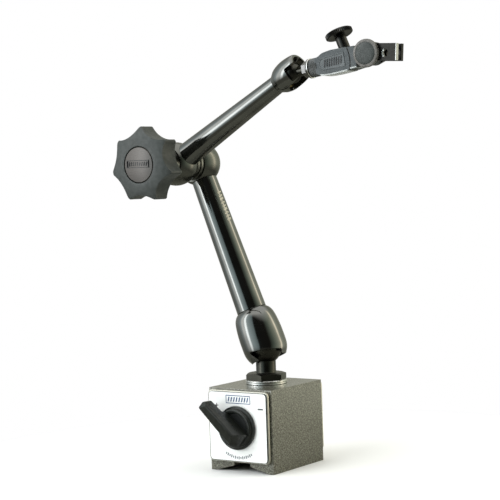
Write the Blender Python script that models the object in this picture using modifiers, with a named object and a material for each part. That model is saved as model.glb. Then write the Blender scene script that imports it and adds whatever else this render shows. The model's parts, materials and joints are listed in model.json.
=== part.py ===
"""Articulated indicator holder on a switchable magnetic base.

Two tapered arms with ball joints at both ends and an elbow between them, all locked by
one central knob, carry a fine-adjustment head with a dovetail clamp.

Sizes are in millimetres and degrees, and to_metres() turns them into Blender's metres.
The model stands on Z = 0, +X runs along the front of the base and -Y points to its front.
"""

import math

import bmesh
import bpy
from mathutils import Matrix, Vector

GAP = 0.3  # clearance between neighbouring pieces

# The whole model is shifted so that its bounding box is centred on the origin.
CENTRE_X = 24.85
CENTRE_Y = -15.0

ARM_Y = 1.2  # the arm stands a little behind the middle of the base

# Magnetic base
BASE_WIDTH = 50.0
BASE_DEPTH = 60.0
BASE_HEIGHT = 55.0
VEE_FLAT = 4.0
VEE_RISE = 3.9
SLOT_HALF = 6.5
SPACER_HALF = SLOT_HALF - GAP
SPACER_FLOOR = 8.0
ROTOR_Z = 29.9
ROTOR_R = 15.0
BORE_R = ROTOR_R + GAP
ROTOR_DISC = 3.0
MAGNET_HALF = 6.0
MAGNET_HEIGHT = 26.4
PLATE_WIDTH = 47.4
PLATE_BOTTOM = 6.8
PLATE_TOP = 54.0
PLATE_THICK = 2.7
PLATE_CORNER = 3.0
PLATE_HOLE_R = 5.4
LABEL_INSET = 0.4
LABEL_THICK = 0.4
SCREW_X = 19.5
SCREW_HEIGHTS = (12.0, 49.0)
SCREW_HEAD_R = 2.9
SCREW_HEAD = 1.5
SCREW_R = 1.5
SCREW_LENGTH = 8.0

# Switch handle
PLATE_BACK = BASE_DEPTH / 2 + GAP
SWITCH_Y = PLATE_BACK + PLATE_THICK + GAP + LABEL_THICK + GAP
SWITCH_FLANGE_R = 14.4
SWITCH_FLANGE = 2.0
SWITCH_BOSS_R = 12.8
SWITCH_BOSS = 4.0
WING_FRONT = 15.7
WING_BACK = 7.1
WING_REACH = 27.2
WING_HALF = 3.2
WING_ANGLE = 140.0
SPINDLE_R = 4.0
SPINDLE_TIP_R = 1.8

# Base stud
WASHER_R = 13.75
WASHER_THICK = 1.8
HEX_R = 14.0
HEX_THICK = 3.8
HEX_TURN = -10.0
STUD_THREAD_R = 4.0
STUD_NECK_R = 6.6
BALL_HEIGHT = 79.0
BALL_R = 11.0

# Lower arm
LOWER_LEAN = -22.1
LOWER_LENGTH = 134.6
LOWER_TOP = 26.3
LOWER_RIM = 7.9
RELIEF_TURN = -55.0
RELIEF_TILT = -14.0
RELIEF_LEFT = 9.6
RELIEF_RIGHT = 10.9
RELIEF_TOP = -3.2
LOWER_SPIGOT_R = 8.5
LOWER_SPIGOT_Z = 16.6
LOWER_TUBE_R = 10.1
LOWER_TUBE_TIP_R = 8.6
LOWER_BORE_R = 3.4
LOWER_ROD_R = 3.0
SEAT_START = 7.1

# Elbow, measured along its own axis from the lower arm's plane
ELBOW_HEAD_R = 15.0
ELBOW_BACK = -12.5
ELBOW_FACE = 8.8
ELBOW_BORE_R = 6.1
ELBOW_SPIGOT_R = 5.5
RING_SPLIT = 12.0
ARM_OFFSET = 25.0
FRONT_HEAD_R = 14.6
FRONT_HEAD_START = 15.2
FRONT_HEAD_END = 34.4
COLLAR_R = 10.7
COLLAR_THICK = 4.5
BOLT_R = 5.8
BOLT_WAIST_R = 4.2
BOLT_THREAD_R = 3.9
BOLT_END = 57.0
KNOB_HUB_R = 7.6
KNOB_BACK = 50.8
KNOB_FRONT = 63.7
KNOB_TIP_R = 24.2
KNOB_VALLEY_R = 19.0
KNOB_LOBES = 7
KNOB_LOBE_ANGLE = 89.0
KNOB_TIP_ANGLE = 5.5
KNOB_FACE = [
    (0.0, 63.7), (14.0, 63.7), (18.0, 63.3), (21.0, 62.6), (23.3, 61.6), (24.4, 60.2),
    (24.6, 58.5), (24.6, 51.8), (23.6, 50.8), (0.0, 50.8),
]
KNOB_CAP_R = 12.6
KNOB_CAP_THICK = 1.1

# Upper arm
UPPER_RISE = 30.0
UPPER_LENGTH = 109.6
UPPER_TUBE_R = 8.25
UPPER_TUBE_TIP_R = 6.05
UPPER_SPIGOT_R = 5.0
UPPER_BORE_R = 2.9
UPPER_ROD_R = 2.5
UPPER_TOP = 12.3
UPPER_RIM = 8.5
TOP_BALL_R = 7.0
TOP_NECK_R = 3.5
TOP_NOTCH_HALF = 5.8
TOP_SEAT_START = 3.9

# Fine-adjustment head, measured along its axis from the upper ball
HEAD_RISE = 7.8
STUD_FLANGE_R = 6.2
STUD_SHANK_R = 3.0
STUD_END = 21.5
RING_START = 15.3
BOSS_START = 16.3
BOSS_R = 6.0
HEAD_HALF = 5.5
PIVOT_S = 25.5
PIN_R = 1.5
CHEEK_ARC_R = 21.4
LEVER_HALF = 1.8
SLOT_HEAD_HALF = 2.2
SLOT_START = 22.2
SLOT_TOP = 4.2
SLOT_FLOOR = -5.8
LEVER_TOP = 3.6
LEVER_BOTTOM = -2.4
LEVER_BLOCK_END = 51.2
CLAMP_S = 60.0
EYE_R = 7.3
SPRING_S = 38.0
SPRING_R = 1.5
SPRING_WIRE_R = 0.25
SPRING_TURNS = 3

# Fine screw, on an axis that leans back from the head
SCREW_S = 41.5
SCREW_V = 7.4
SCREW_LEAN = 14.7
STEM_R = 3.6
STEM_END = 8.2
FINE_SHANK_R = 1.9
WHEEL_R = 8.85
WHEEL_THICK = 3.1

# Clamp
CLAMP_RISE = -3.8
JAW_GAP = 4.2
FRONT_JAW_THICK = 2.8
REAR_JAW_THICK = 2.6
JAW_END = 20.0
JAW_TOP = 5.6
JAW_BOTTOM = -5.0
JAW_EYE_R = 8.0
JAW_KINK = 8.0
JAW_HOLE_X = 12.4
JAW_HOLE_R = 2.5
DOVETAIL_DEPTH = 1.15
CLAMP_BOLT_R = 2.5
CLAMP_KNOB_R = 8.8
CLAMP_KNOB_THICK = 3.8

MATERIALS = {
    # name: (colour, roughness, metallic)
    "hammered_paint": ((0.20, 0.19, 0.17), 0.45, 0.0),
    "bare_steel": ((0.55, 0.55, 0.54), 0.35, 1.0),
    "brass": ((0.62, 0.48, 0.22), 0.35, 1.0),
    "cast_plate": ((0.66, 0.65, 0.60), 0.5, 0.3),
    "label": ((0.90, 0.90, 0.90), 0.4, 0.0),
    "black_plastic": ((0.02, 0.02, 0.02), 0.45, 0.0),
    "magnet": ((0.08, 0.08, 0.09), 0.6, 0.2),
    "chrome": ((0.80, 0.80, 0.80), 0.12, 1.0),
    "black_chrome": ((0.09, 0.09, 0.09), 0.15, 1.0),
    "grey_plastic": ((0.10, 0.11, 0.12), 0.55, 0.0),
    "satin_cap": ((0.45, 0.43, 0.43), 0.35, 1.0),
    "head_grey": ((0.12, 0.13, 0.14), 0.5, 0.2),
    "black_oxide": ((0.03, 0.03, 0.03), 0.35, 0.7),
    "spring_steel": ((0.50, 0.50, 0.50), 0.3, 1.0),
}


def to_metres(value):
    return value * 0.001


def clear_scene():
    for obj in list(bpy.data.objects):
        bpy.data.objects.remove(obj, do_unlink=True)


def make_collection(name):
    collection = bpy.data.collections.new(name)
    bpy.context.scene.collection.children.link(collection)
    return collection


def make_material(name):
    colour, roughness, metallic = MATERIALS[name]
    material = bpy.data.materials.get(name) or bpy.data.materials.new(name)
    material.use_nodes = True
    shader = material.node_tree.nodes["Principled BSDF"]
    shader.inputs["Base Color"].default_value = (*colour, 1.0)
    shader.inputs["Roughness"].default_value = roughness
    shader.inputs["Metallic"].default_value = metallic
    return material


def make_frame(name, parent, place, rotation):
    """An empty at a place in its parent's frame, which the pieces of one body hang from."""
    frame = bpy.data.objects.new(name, None)
    PARTS.objects.link(frame)
    frame.parent = parent
    frame.location = [to_metres(v) for v in place]
    frame.rotation_euler = [math.radians(a) for a in rotation]
    return frame


def add_object(name, mesh, frame, material):
    piece = bpy.data.objects.new(name, mesh)
    if material:
        PARTS.objects.link(piece)
        mesh.materials.append(make_material(material))
    else:
        CUTTERS.objects.link(piece)
        piece.hide_render = True
        piece.display_type = "WIRE"
    piece.parent = frame
    return piece


def arc(radius, start, end, steps, centre=(0.0, 0.0)):
    """Points on a circle between two angles in degrees."""
    points = []
    for i in range(steps + 1):
        angle = math.radians(start + (end - start) * i / steps)
        across = centre[0] + radius * math.cos(angle)
        along = centre[1] + radius * math.sin(angle)
        points.append((across, along))
    return points


def sphere_side(radius, top, bottom, steps):
    """The profile of a sphere about the origin, from one height down to another."""
    start = math.degrees(math.asin(top / radius))
    end = math.degrees(math.asin(bottom / radius))
    return arc(radius, start, end, steps)


def moved(points, along):
    return [(across, height + along) for across, height in points]


def turned(name, profile, frame, material, segments=32):
    """A turned piece: a profile of (radius, height), top to bottom down the outside."""
    mesh = bpy.data.meshes.new(name)
    vertices = [(to_metres(r), 0.0, to_metres(z)) for r, z in profile]
    edges = [(i, i + 1) for i in range(len(profile) - 1)]
    if profile[0][0] > 0:
        edges.append((len(profile) - 1, 0))
    mesh.from_pydata(vertices, edges, [])
    piece = add_object(name, mesh, frame, material)
    screw = piece.modifiers.new("Turn", "SCREW")
    screw.axis = "Z"
    screw.steps = segments
    screw.render_steps = segments
    screw.use_merge_vertices = True
    screw.merge_threshold = 0.00001
    screw.use_smooth_shade = True
    return piece


def plate(name, outline, low, high, frame, material, bevel=0.0, axis="Z"):
    """A flat outline extruded between two heights along its frame's Z, X or Y axis."""
    curve = bpy.data.curves.new(name, "CURVE")
    curve.dimensions = "2D"
    curve.fill_mode = "BOTH"
    curve.extrude = to_metres((high - low) / 2)
    spline = curve.splines.new("POLY")
    spline.points.add(len(outline) - 1)
    for point, (x, y) in zip(spline.points, outline):
        point.co = (to_metres(x), to_metres(y), 0.0, 1.0)
    spline.use_cyclic_u = True
    source = bpy.data.objects.new(name + "_outline", curve)
    bpy.context.scene.collection.objects.link(source)
    evaluated = source.evaluated_get(bpy.context.evaluated_depsgraph_get())
    mesh = bpy.data.meshes.new_from_object(evaluated)
    bpy.data.objects.remove(source, do_unlink=True)
    mesh.name = name
    mesh.materials.clear()
    turn = {
        "Z": Matrix.Identity(4),
        "X": Matrix(((0, 0, 1, 0), (1, 0, 0, 0), (0, 1, 0, 0), (0, 0, 0, 1))),
        "Y": Matrix(((1, 0, 0, 0), (0, 0, -1, 0), (0, 1, 0, 0), (0, 0, 0, 1))),
    }[axis]
    lift = Matrix.Translation((0, 0, to_metres((high + low) / 2)))
    shape = bmesh.new()
    shape.from_mesh(mesh)
    bmesh.ops.remove_doubles(shape, verts=shape.verts, dist=0.000001)
    bmesh.ops.transform(shape, matrix=turn @ lift, verts=shape.verts)
    bmesh.ops.recalc_face_normals(shape, faces=shape.faces)
    shape.to_mesh(mesh)
    shape.free()
    piece = add_object(name, mesh, frame, material)
    if bevel:
        edge = piece.modifiers.new("Edges", "BEVEL")
        edge.width = to_metres(bevel)
        edge.segments = 2
        edge.limit_method = "ANGLE"
        edge.angle_limit = math.radians(50)
    return piece


def boolean(piece, other, operation):
    modifier = piece.modifiers.new(operation.title(), "BOOLEAN")
    modifier.operation = operation
    modifier.solver = "EXACT"
    modifier.object = other


def cut(piece, cutter):
    boolean(piece, cutter, "DIFFERENCE")


def join(piece, other):
    boolean(piece, other, "UNION")


def cylinder_profile(radius, low, high):
    return [(0.0, high), (radius, high), (radius, low), (0.0, low)]


def tube_profile(outer, inner, low, high):
    return [(outer, high), (outer, low), (inner, low), (inner, high)]


def drill(piece, name, frame, radius, low, high, place=(0.0, 0.0), segments=16):
    """Cut a round hole along the Z axis of a frame."""
    cutter = turned(name, cylinder_profile(radius, low, high), frame, None, segments)
    cutter.location = (to_metres(place[0]), to_metres(place[1]), 0.0)
    cut(piece, cutter)


def rounded_rectangle(left, right, bottom, top, radius):
    corners = (
        (right - radius, top - radius, 0),
        (left + radius, top - radius, 90),
        (left + radius, bottom + radius, 180),
        (right - radius, bottom + radius, 270),
    )
    points = []
    for x, y, start in corners:
        points += arc(radius, start, start + 90, 3, (x, y))
    return points


# --- magnetic base -------------------------------------------------------------


def pole_outline(side):
    """Half of the iron body: flat foot, vee slope, slot wall and rotor bore."""
    outer = BASE_WIDTH / 2
    reach = math.degrees(math.acos(SLOT_HALF / BORE_R))
    bore = arc(BORE_R, -reach, reach, 14, (0.0, ROTOR_Z))
    half = [(outer, BASE_HEIGHT), (outer, 0.0), (outer - VEE_FLAT, 0.0), (SLOT_HALF, VEE_RISE)]
    half += bore + [(SLOT_HALF, BASE_HEIGHT)]
    return [(side * x, y) for x, y in half]


def screw_places():
    return [(x, y) for y in SCREW_HEIGHTS for x in (-SCREW_X, SCREW_X)]


def make_base(front):
    """front has its Z axis along -Y, so a height in it is a distance to the front."""
    half = BASE_DEPTH / 2
    for name, side in (("pole_block_left", -1), ("pole_block_right", 1)):
        block = plate(name, pole_outline(side), -half, half, front, "hammered_paint")
        for i, height in enumerate(SCREW_HEIGHTS):
            for end in (-1, 1):
                low, high = sorted((end * (half - SCREW_LENGTH), end * (half + 1)))
                drill(block, f"{name}_hole_{i}_{end}", front, SCREW_R + GAP, low, high,
                      (side * SCREW_X, height), 12)

    top = rounded_rectangle(-SPACER_HALF, SPACER_HALF, ROTOR_Z + BORE_R + GAP, BASE_HEIGHT, 0.5)
    spacer = plate("spacer_top", top, -half, half, front, "brass")
    upright = make_frame("thread_axis", front, (0, 0, -ARM_Y), (-90, 0, 0))
    drill(spacer, "stud_thread_hole", upright, STUD_THREAD_R + GAP, 40.0, 60.0)
    low = rounded_rectangle(-SPACER_HALF, SPACER_HALF, SPACER_FLOOR,
                            ROTOR_Z - BORE_R - GAP, 0.5)
    plate("spacer_bottom", low, -half, half, front, "brass")
    turned("base_washer",
           tube_profile(WASHER_R, STUD_THREAD_R + GAP + 0.1, BASE_HEIGHT + GAP,
                        BASE_HEIGHT + GAP + WASHER_THICK), upright, "chrome", 40)


def make_plates(front):
    edge = PLATE_WIDTH / 2
    outline = rounded_rectangle(-edge, edge, PLATE_BOTTOM, PLATE_TOP, PLATE_CORNER)
    count = 0
    for name, side in (("front_plate", 1), ("rear_plate", -1)):
        low, high = sorted((side * PLATE_BACK, side * (PLATE_BACK + PLATE_THICK)))
        cover = plate(name, outline, low, high, front, "cast_plate")
        drill(cover, name + "_shaft_hole", front, PLATE_HOLE_R, low - 1, high + 1,
              (0.0, ROTOR_Z), 24)
        outward = make_frame(name + "_outward", front, (0, 0, 0), (0, 90 - 90 * side, 0))
        face = PLATE_BACK + PLATE_THICK
        for x, y in screw_places():
            count += 1
            at = (x, y)
            drill(cover, f"{name}_hole_{count}", outward, SCREW_R + GAP, face - 8, face + 1, at, 12)
            drill(cover, f"{name}_seat_{count}", outward, SCREW_HEAD_R + GAP,
                  face - SCREW_HEAD - GAP, face + 1, at, 16)
            make_screw(f"plate_screw_{count}", outward, face - 0.1, at)

    inset = PLATE_WIDTH / 2 - LABEL_INSET
    shape = rounded_rectangle(-inset, inset, PLATE_BOTTOM + LABEL_INSET,
                              PLATE_TOP - LABEL_INSET, PLATE_CORNER - LABEL_INSET)
    start = PLATE_BACK + PLATE_THICK + GAP
    label = plate("front_label", shape, start, start + LABEL_THICK, front, "label")
    drill(label, "label_shaft_hole", front, PLATE_HOLE_R, start - 1, start + 2,
          (0.0, ROTOR_Z), 24)


def make_screw(name, frame, face, place):
    """A flat-headed screw whose head ends at a height of its frame."""
    profile = [
        (0.0, face),
        (SCREW_HEAD_R, face),
        (SCREW_HEAD_R, face - 0.4),
        (SCREW_R, face - SCREW_HEAD),
        (SCREW_R, face - SCREW_LENGTH),
        (0.0, face - SCREW_LENGTH),
    ]
    screw = turned(name, profile, frame, "bare_steel", 12)
    screw.location = (to_metres(place[0]), to_metres(place[1]), 0.0)


def make_rotor(switch):
    """The magnet that turns in the bore, and the handle that turns it."""
    front_disc = BASE_DEPTH / 2 - GAP - SWITCH_Y
    rear_disc = -BASE_DEPTH / 2 + GAP - SWITCH_Y
    spindle = [
        (0.0, 9.0),
        (SPINDLE_TIP_R, 9.0),
        (SPINDLE_TIP_R, SWITCH_FLANGE),
        (SPINDLE_R, SWITCH_FLANGE),
        (SPINDLE_R, front_disc),
        (ROTOR_R, front_disc),
        (ROTOR_R, front_disc - ROTOR_DISC),
        (0.0, front_disc - ROTOR_DISC),
    ]
    turned("rotor_spindle", spindle, switch, "brass", 40)
    journal = PLATE_HOLE_R - 0.4
    end = [
        (0.0, rear_disc + ROTOR_DISC),
        (ROTOR_R, rear_disc + ROTOR_DISC),
        (ROTOR_R, rear_disc),
        (journal, rear_disc),
        (journal, rear_disc - PLATE_THICK - GAP),
        (0.0, rear_disc - PLATE_THICK - GAP),
    ]
    turned("rotor_end", end, switch, "brass", 40)
    low = rear_disc + ROTOR_DISC + GAP
    high = front_disc - ROTOR_DISC - GAP
    tall = MAGNET_HEIGHT / 2
    block = rounded_rectangle(-MAGNET_HALF, MAGNET_HALF, -tall, tall, 0.4)
    plate("rotor_magnet", block, low, high, switch, "magnet")
    start = MAGNET_HALF + GAP
    reach = math.degrees(math.acos(start / ROTOR_R))
    for name, middle in (("rotor_shoe_right", 0), ("rotor_shoe_left", 180)):
        shoe = arc(ROTOR_R, middle - reach, middle + reach, 12)
        plate(name, shoe, low, high, switch, "bare_steel")


def make_switch_handle(switch):
    disc = [
        (0.0, SWITCH_BOSS),
        (SWITCH_BOSS_R - 0.8, SWITCH_BOSS),
        (SWITCH_BOSS_R, SWITCH_BOSS - 0.8),
        (SWITCH_BOSS_R, SWITCH_FLANGE),
        (SWITCH_FLANGE_R - 0.4, SWITCH_FLANGE),
        (SWITCH_FLANGE_R, SWITCH_FLANGE - 0.5),
        (SWITCH_FLANGE_R, 0.0),
        (0.0, 0.0),
    ]
    knob = turned("switch_knob", disc, switch, "black_plastic", 48)
    side = [
        (-10.8, SWITCH_BOSS - 1.5),
        (WING_REACH - 15, SWITCH_BOSS - 1.5),
        (WING_REACH - 14.5, WING_BACK),
        (WING_REACH - 1.5, WING_BACK),
        (WING_REACH, WING_BACK + 1.5),
        (WING_REACH, WING_FRONT - 2.0),
        (WING_REACH - 1.5, WING_FRONT - 0.5),
        (WING_REACH - 4.0, WING_FRONT),
        (-6.8, WING_FRONT),
    ]
    lever = make_frame("wing_axis", switch, (0, 0, 0), (0, 0, WING_ANGLE))
    wing = plate("switch_wing", side, -WING_HALF, WING_HALF, lever, None, 0.9, "Y")
    join(knob, wing)
    drill(knob, "switch_bore", switch, SPINDLE_R + GAP, -1.0, SWITCH_FLANGE + GAP, segments=24)
    drill(knob, "switch_tip_bore", switch, SPINDLE_TIP_R + GAP, 0.0, 9.0 + GAP, segments=16)


# --- ball studs, sockets and arms ------------------------------------------------


def make_base_stud(upright):
    """A threaded stud with a hexagon and a ball, in a frame at the ball's centre."""
    hex_low = BASE_HEIGHT + 2 * GAP + WASHER_THICK - BALL_HEIGHT
    hex_high = hex_low + HEX_THICK
    joint = math.sqrt(BALL_R**2 - STUD_NECK_R**2)
    shank = BASE_HEIGHT - 9.0 - BALL_HEIGHT
    profile = [(0.0, BALL_R)] + sphere_side(BALL_R, 10.2, -joint, 10)
    profile += [
        (STUD_NECK_R, hex_high + 1.0),
        (STUD_NECK_R + 1.0, hex_high),
        (STUD_NECK_R + 1.0, hex_low + 0.5),
        (STUD_THREAD_R, hex_low + 0.5),
        (STUD_THREAD_R, shank),
        (0.0, shank),
    ]
    stud = turned("base_ball_stud", profile, upright, "black_chrome", 32)
    corners = arc(HEX_R, HEX_TURN, HEX_TURN + 300, 5)
    nut = plate("stud_hexagon", corners, hex_low, hex_high, upright, None, 0.5)
    join(stud, nut)


def stadium(half_width, length):
    """A slot outline, round at its far end and open-ended downwards."""
    return arc(half_width, 0, 180, 10) + [(-half_width, -length), (half_width, -length)]


def socket_profile(outer, rim_inner, ball_r, step, hole_r):
    """A barrel socket: its outer form, the ball pocket, and the hole for the arm tube."""
    pocket = ball_r + GAP
    top = outer[0][1]
    lip = rim_inner[-1][1]
    inner = rim_inner + sphere_side(pocket, lip, 0.0, 4)[1:]
    inner += [(pocket, step), (hole_r, step), (hole_r, top)]
    return outer + inner


def make_lower_socket(arm):
    outer = [
        (10.5, LOWER_TOP), (12.1, 24.6), (13.5, 21.6), (14.4, 16.6), (14.9, 10.5), (15.0, 5.0),
        (14.9, 0.0), (14.5, -2.6), (13.7, -5.0), (12.7, -6.8), (12.1, -LOWER_RIM),
    ]
    lip = -5.0
    pocket = BALL_R + GAP
    rim = [(11.5, -LOWER_RIM), (math.sqrt(pocket**2 - lip**2), lip)]
    step = LOWER_SPIGOT_Z - 0.6
    profile = socket_profile(outer, rim, BALL_R, step, LOWER_SPIGOT_R + GAP)
    socket = turned("lower_socket", profile, arm, "black_chrome", 36)
    notch = plate("lower_notch", stadium(STUD_NECK_R + 0.3, 15.0), -20.0, -1.0, arm, None,
                  axis="X")
    cut(socket, notch)
    front = make_frame("relief_axis", arm, (0, 0, 0), (RELIEF_TILT, 0, RELIEF_TURN))
    mouth = rounded_rectangle(-RELIEF_LEFT, RELIEF_RIGHT, -15.0, RELIEF_TOP, 1.5)
    relief = plate("lower_relief", mouth, 3.0, 20.0, front, None, axis="X")
    cut(socket, relief)
    seat = [(0.0, step - 0.5), (pocket - 0.4, step - 0.5), (pocket - 0.4, SEAT_START)]
    low = math.sqrt(pocket**2 - SEAT_START**2)
    seat += [(low, SEAT_START)] + sphere_side(pocket, SEAT_START, pocket - 0.02, 5)[1:-1]
    turned("lower_seat", seat + [(0.0, pocket)], arm, "brass", 24)


def concave_shoulder(outer_r, inner_r, head_r, steps):
    """The hollow end that lets a tube sit on a round head, as (radius, distance)."""
    points = []
    for i in range(steps + 1):
        r = inner_r + (outer_r - inner_r) * i / steps
        points.append((r, math.sqrt(head_r**2 - r**2)))
    return points


def make_lower_arm(arm):
    reach = LOWER_LENGTH
    shoulder = concave_shoulder(LOWER_TUBE_TIP_R, ELBOW_SPIGOT_R, ELBOW_HEAD_R + GAP, 3)
    profile = [(ELBOW_SPIGOT_R, reach - 8.5)]
    profile += [(r, reach - z) for r, z in shoulder]
    profile += [
        (LOWER_TUBE_R, LOWER_TOP + GAP),
        (LOWER_SPIGOT_R, LOWER_TOP + GAP),
        (LOWER_SPIGOT_R, LOWER_SPIGOT_Z),
        (LOWER_BORE_R, LOWER_SPIGOT_Z),
        (LOWER_BORE_R, reach - 8.5),
    ]
    turned("lower_tube", profile, arm, "black_chrome", 32)
    rod = [(0.0, reach - 6.2), (LOWER_ROD_R - 1, reach - 6.2), (LOWER_ROD_R, reach - 7.2),
           (LOWER_ROD_R, LOWER_SPIGOT_Z - 0.8), (0.0, LOWER_SPIGOT_Z - 0.8)]
    turned("lower_push_rod", rod, arm, "bare_steel", 16)


def make_elbow(elbow):
    """Pieces of the elbow that stay with the lower arm, and the bolt through it."""
    head = sphere_side(ELBOW_HEAD_R, ELBOW_FACE, ELBOW_BACK, 14)
    head += [(ELBOW_BORE_R, ELBOW_BACK), (ELBOW_BORE_R, ELBOW_FACE)]
    rear = turned("elbow_rear_head", head, elbow, "black_chrome", 36)
    socket = make_frame("rear_spigot_axis", elbow, (0, 0, 0), (0, 0, 0))
    socket.rotation_mode = "QUATERNION"
    down = Vector((-math.sin(math.radians(LOWER_LEAN)), -math.cos(math.radians(LOWER_LEAN)), 0))
    socket.rotation_quaternion = down.to_track_quat("Z", "Y")
    drill(rear, "rear_spigot_hole", socket, ELBOW_SPIGOT_R + GAP, 3.0, 18.0, segments=24)
    turned("elbow_ring_rear",
           tube_profile(11.6, ELBOW_BORE_R, ELBOW_FACE + GAP, RING_SPLIT - GAP / 2),
           elbow, "black_chrome", 36)

    dome = [(0.0, BOLT_END), (BOLT_THREAD_R, BOLT_END), (BOLT_THREAD_R, 39.0), (BOLT_R, 39.0)]
    for middle in (ARM_OFFSET, 0.0):
        dome += [(BOLT_R, middle + 5), (BOLT_WAIST_R, middle + 2),
                 (BOLT_WAIST_R, middle - 2), (BOLT_R, middle - 5)]
    back = ELBOW_BACK - GAP
    dome += [(BOLT_R, back), (8.1, back), (7.6, back - 0.9), (5.4, back - 1.8), (0.0, back - 2.4)]
    turned("elbow_bolt", dome, elbow, "black_chrome", 32)


def make_front_head(elbow):
    """Pieces of the elbow that turn with the upper arm."""
    turned("elbow_ring_front",
           tube_profile(11.0, ELBOW_BORE_R, RING_SPLIT + GAP / 2, FRONT_HEAD_START - GAP),
           elbow, "black_chrome", 36)
    head = sphere_side(FRONT_HEAD_R, FRONT_HEAD_END - ARM_OFFSET,
                       FRONT_HEAD_START - ARM_OFFSET, 12)
    head = moved(head, ARM_OFFSET)
    head += [(ELBOW_BORE_R, FRONT_HEAD_START), (ELBOW_BORE_R, FRONT_HEAD_END)]
    front = turned("elbow_front_head", head, elbow, "black_chrome", 36)
    socket = make_frame("front_spigot_axis", elbow, (0, 0, ARM_OFFSET), (0, 0, 0))
    socket.rotation_mode = "QUATERNION"
    rise = math.radians(UPPER_RISE)
    along = Vector((math.cos(rise), math.sin(rise), 0))
    socket.rotation_quaternion = along.to_track_quat("Z", "Y")
    drill(front, "front_spigot_hole", socket, ELBOW_SPIGOT_R + GAP, 3.0, 18.0, segments=24)
    start = FRONT_HEAD_END + GAP
    turned("elbow_collar",
           tube_profile(COLLAR_R, ELBOW_BORE_R, start, start + COLLAR_THICK),
           elbow, "black_chrome", 36)


def lobed_outline():
    """The seven-lobed knob: narrow tips joined by wide round hollows."""
    half_pitch = 180.0 / KNOB_LOBES
    tip = math.radians(half_pitch - KNOB_TIP_ANGLE)
    half_chord = KNOB_TIP_R * math.sin(tip)
    sag = KNOB_TIP_R * math.cos(tip) - KNOB_VALLEY_R
    hollow_r = (half_chord**2 + sag**2) / (2 * sag)
    reach = math.degrees(math.asin(half_chord / hollow_r))
    points = []
    for i in range(KNOB_LOBES):
        middle = KNOB_LOBE_ANGLE + half_pitch * (2 * i + 1)
        away = math.radians(middle)
        centre = ((KNOB_VALLEY_R + hollow_r) * math.cos(away),
                  (KNOB_VALLEY_R + hollow_r) * math.sin(away))
        points += arc(hollow_r, middle + 180 + reach, middle + 180 - reach, 8, centre)
        crest = middle + half_pitch
        points += arc(KNOB_TIP_R + 0.35, crest - 2.5, crest + 2.5, 1)
    return points


def make_knob(elbow):
    body = plate("elbow_knob", lobed_outline(), KNOB_BACK - 1, KNOB_FRONT + 1, elbow,
                 "grey_plastic")
    face = turned("knob_face", KNOB_FACE, elbow, None, 48)
    boolean(body, face, "INTERSECT")
    hub_back = FRONT_HEAD_END + 2 * GAP + COLLAR_THICK
    hub = turned("knob_hub", cylinder_profile(KNOB_HUB_R, hub_back, KNOB_BACK + 2), elbow,
                 None, 32)
    join(body, hub)
    drill(body, "knob_bore", elbow, BOLT_THREAD_R + GAP, hub_back - 1, BOLT_END + 1, segments=24)
    floor = KNOB_FRONT - KNOB_CAP_THICK
    drill(body, "knob_recess", elbow, KNOB_CAP_R + GAP, floor, KNOB_FRONT + 2, segments=40)
    cap = [
        (0.0, KNOB_FRONT + 0.4), (KNOB_CAP_R - 0.4, KNOB_FRONT + 0.25),
        (KNOB_CAP_R, KNOB_FRONT - 0.1), (KNOB_CAP_R, floor + GAP), (0.0, floor + GAP),
    ]
    turned("elbow_knob_cap", cap, elbow, "satin_cap", 40)


def make_upper_arm(arm):
    reach = UPPER_LENGTH
    shoulder = concave_shoulder(UPPER_TUBE_R, ELBOW_SPIGOT_R, FRONT_HEAD_R + GAP, 3)
    spigot_end = reach - UPPER_TOP + 3.6
    profile = [
        (UPPER_SPIGOT_R, spigot_end),
        (UPPER_SPIGOT_R, reach - UPPER_TOP - GAP),
        (UPPER_TUBE_TIP_R, reach - UPPER_TOP - GAP),
    ]
    profile += [(r, z) for r, z in reversed(shoulder)]
    profile += [(ELBOW_SPIGOT_R, 8.4), (UPPER_BORE_R, 8.4), (UPPER_BORE_R, spigot_end)]
    turned("upper_tube", profile, arm, "black_chrome", 32)
    rod = [(0.0, spigot_end + 0.2), (UPPER_ROD_R, spigot_end + 0.2), (UPPER_ROD_R, 7.2),
           (UPPER_ROD_R - 1, 6.2), (0.0, 6.2)]
    turned("upper_push_rod", rod, arm, "bare_steel", 16)


def make_upper_socket(socket):
    """The frame's Z axis points from the ball back along the arm."""
    outer = [
        (6.5, UPPER_TOP), (7.5, 10.6), (8.5, 8.9), (9.4, 5.9), (9.9, 2.6), (10.0, 0.0),
        (9.8, -3.2), (9.4, -6.2), (8.9, -7.8), (8.3, -UPPER_RIM),
    ]
    pocket = TOP_BALL_R + GAP
    lip = -4.8
    rim = [(7.0, -UPPER_RIM), (math.sqrt(pocket**2 - lip**2), lip)]
    step = UPPER_TOP - 3.9
    profile = socket_profile(outer, rim, TOP_BALL_R, step, UPPER_SPIGOT_R + GAP)
    barrel = turned("upper_socket", profile, socket, "black_chrome", 32)
    notch = plate("upper_notch", stadium(TOP_NOTCH_HALF, 12.0), -15.0, 0.0, socket, None,
                  axis="X")
    cut(barrel, notch)
    seat = [(0.0, step - 0.3), (pocket - 0.4, step - 0.3), (pocket - 0.4, TOP_SEAT_START)]
    seat += sphere_side(pocket, TOP_SEAT_START, pocket - 0.02, 4)[:-1] + [(0.0, pocket)]
    turned("upper_seat", seat, socket, "brass", 20)


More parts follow.
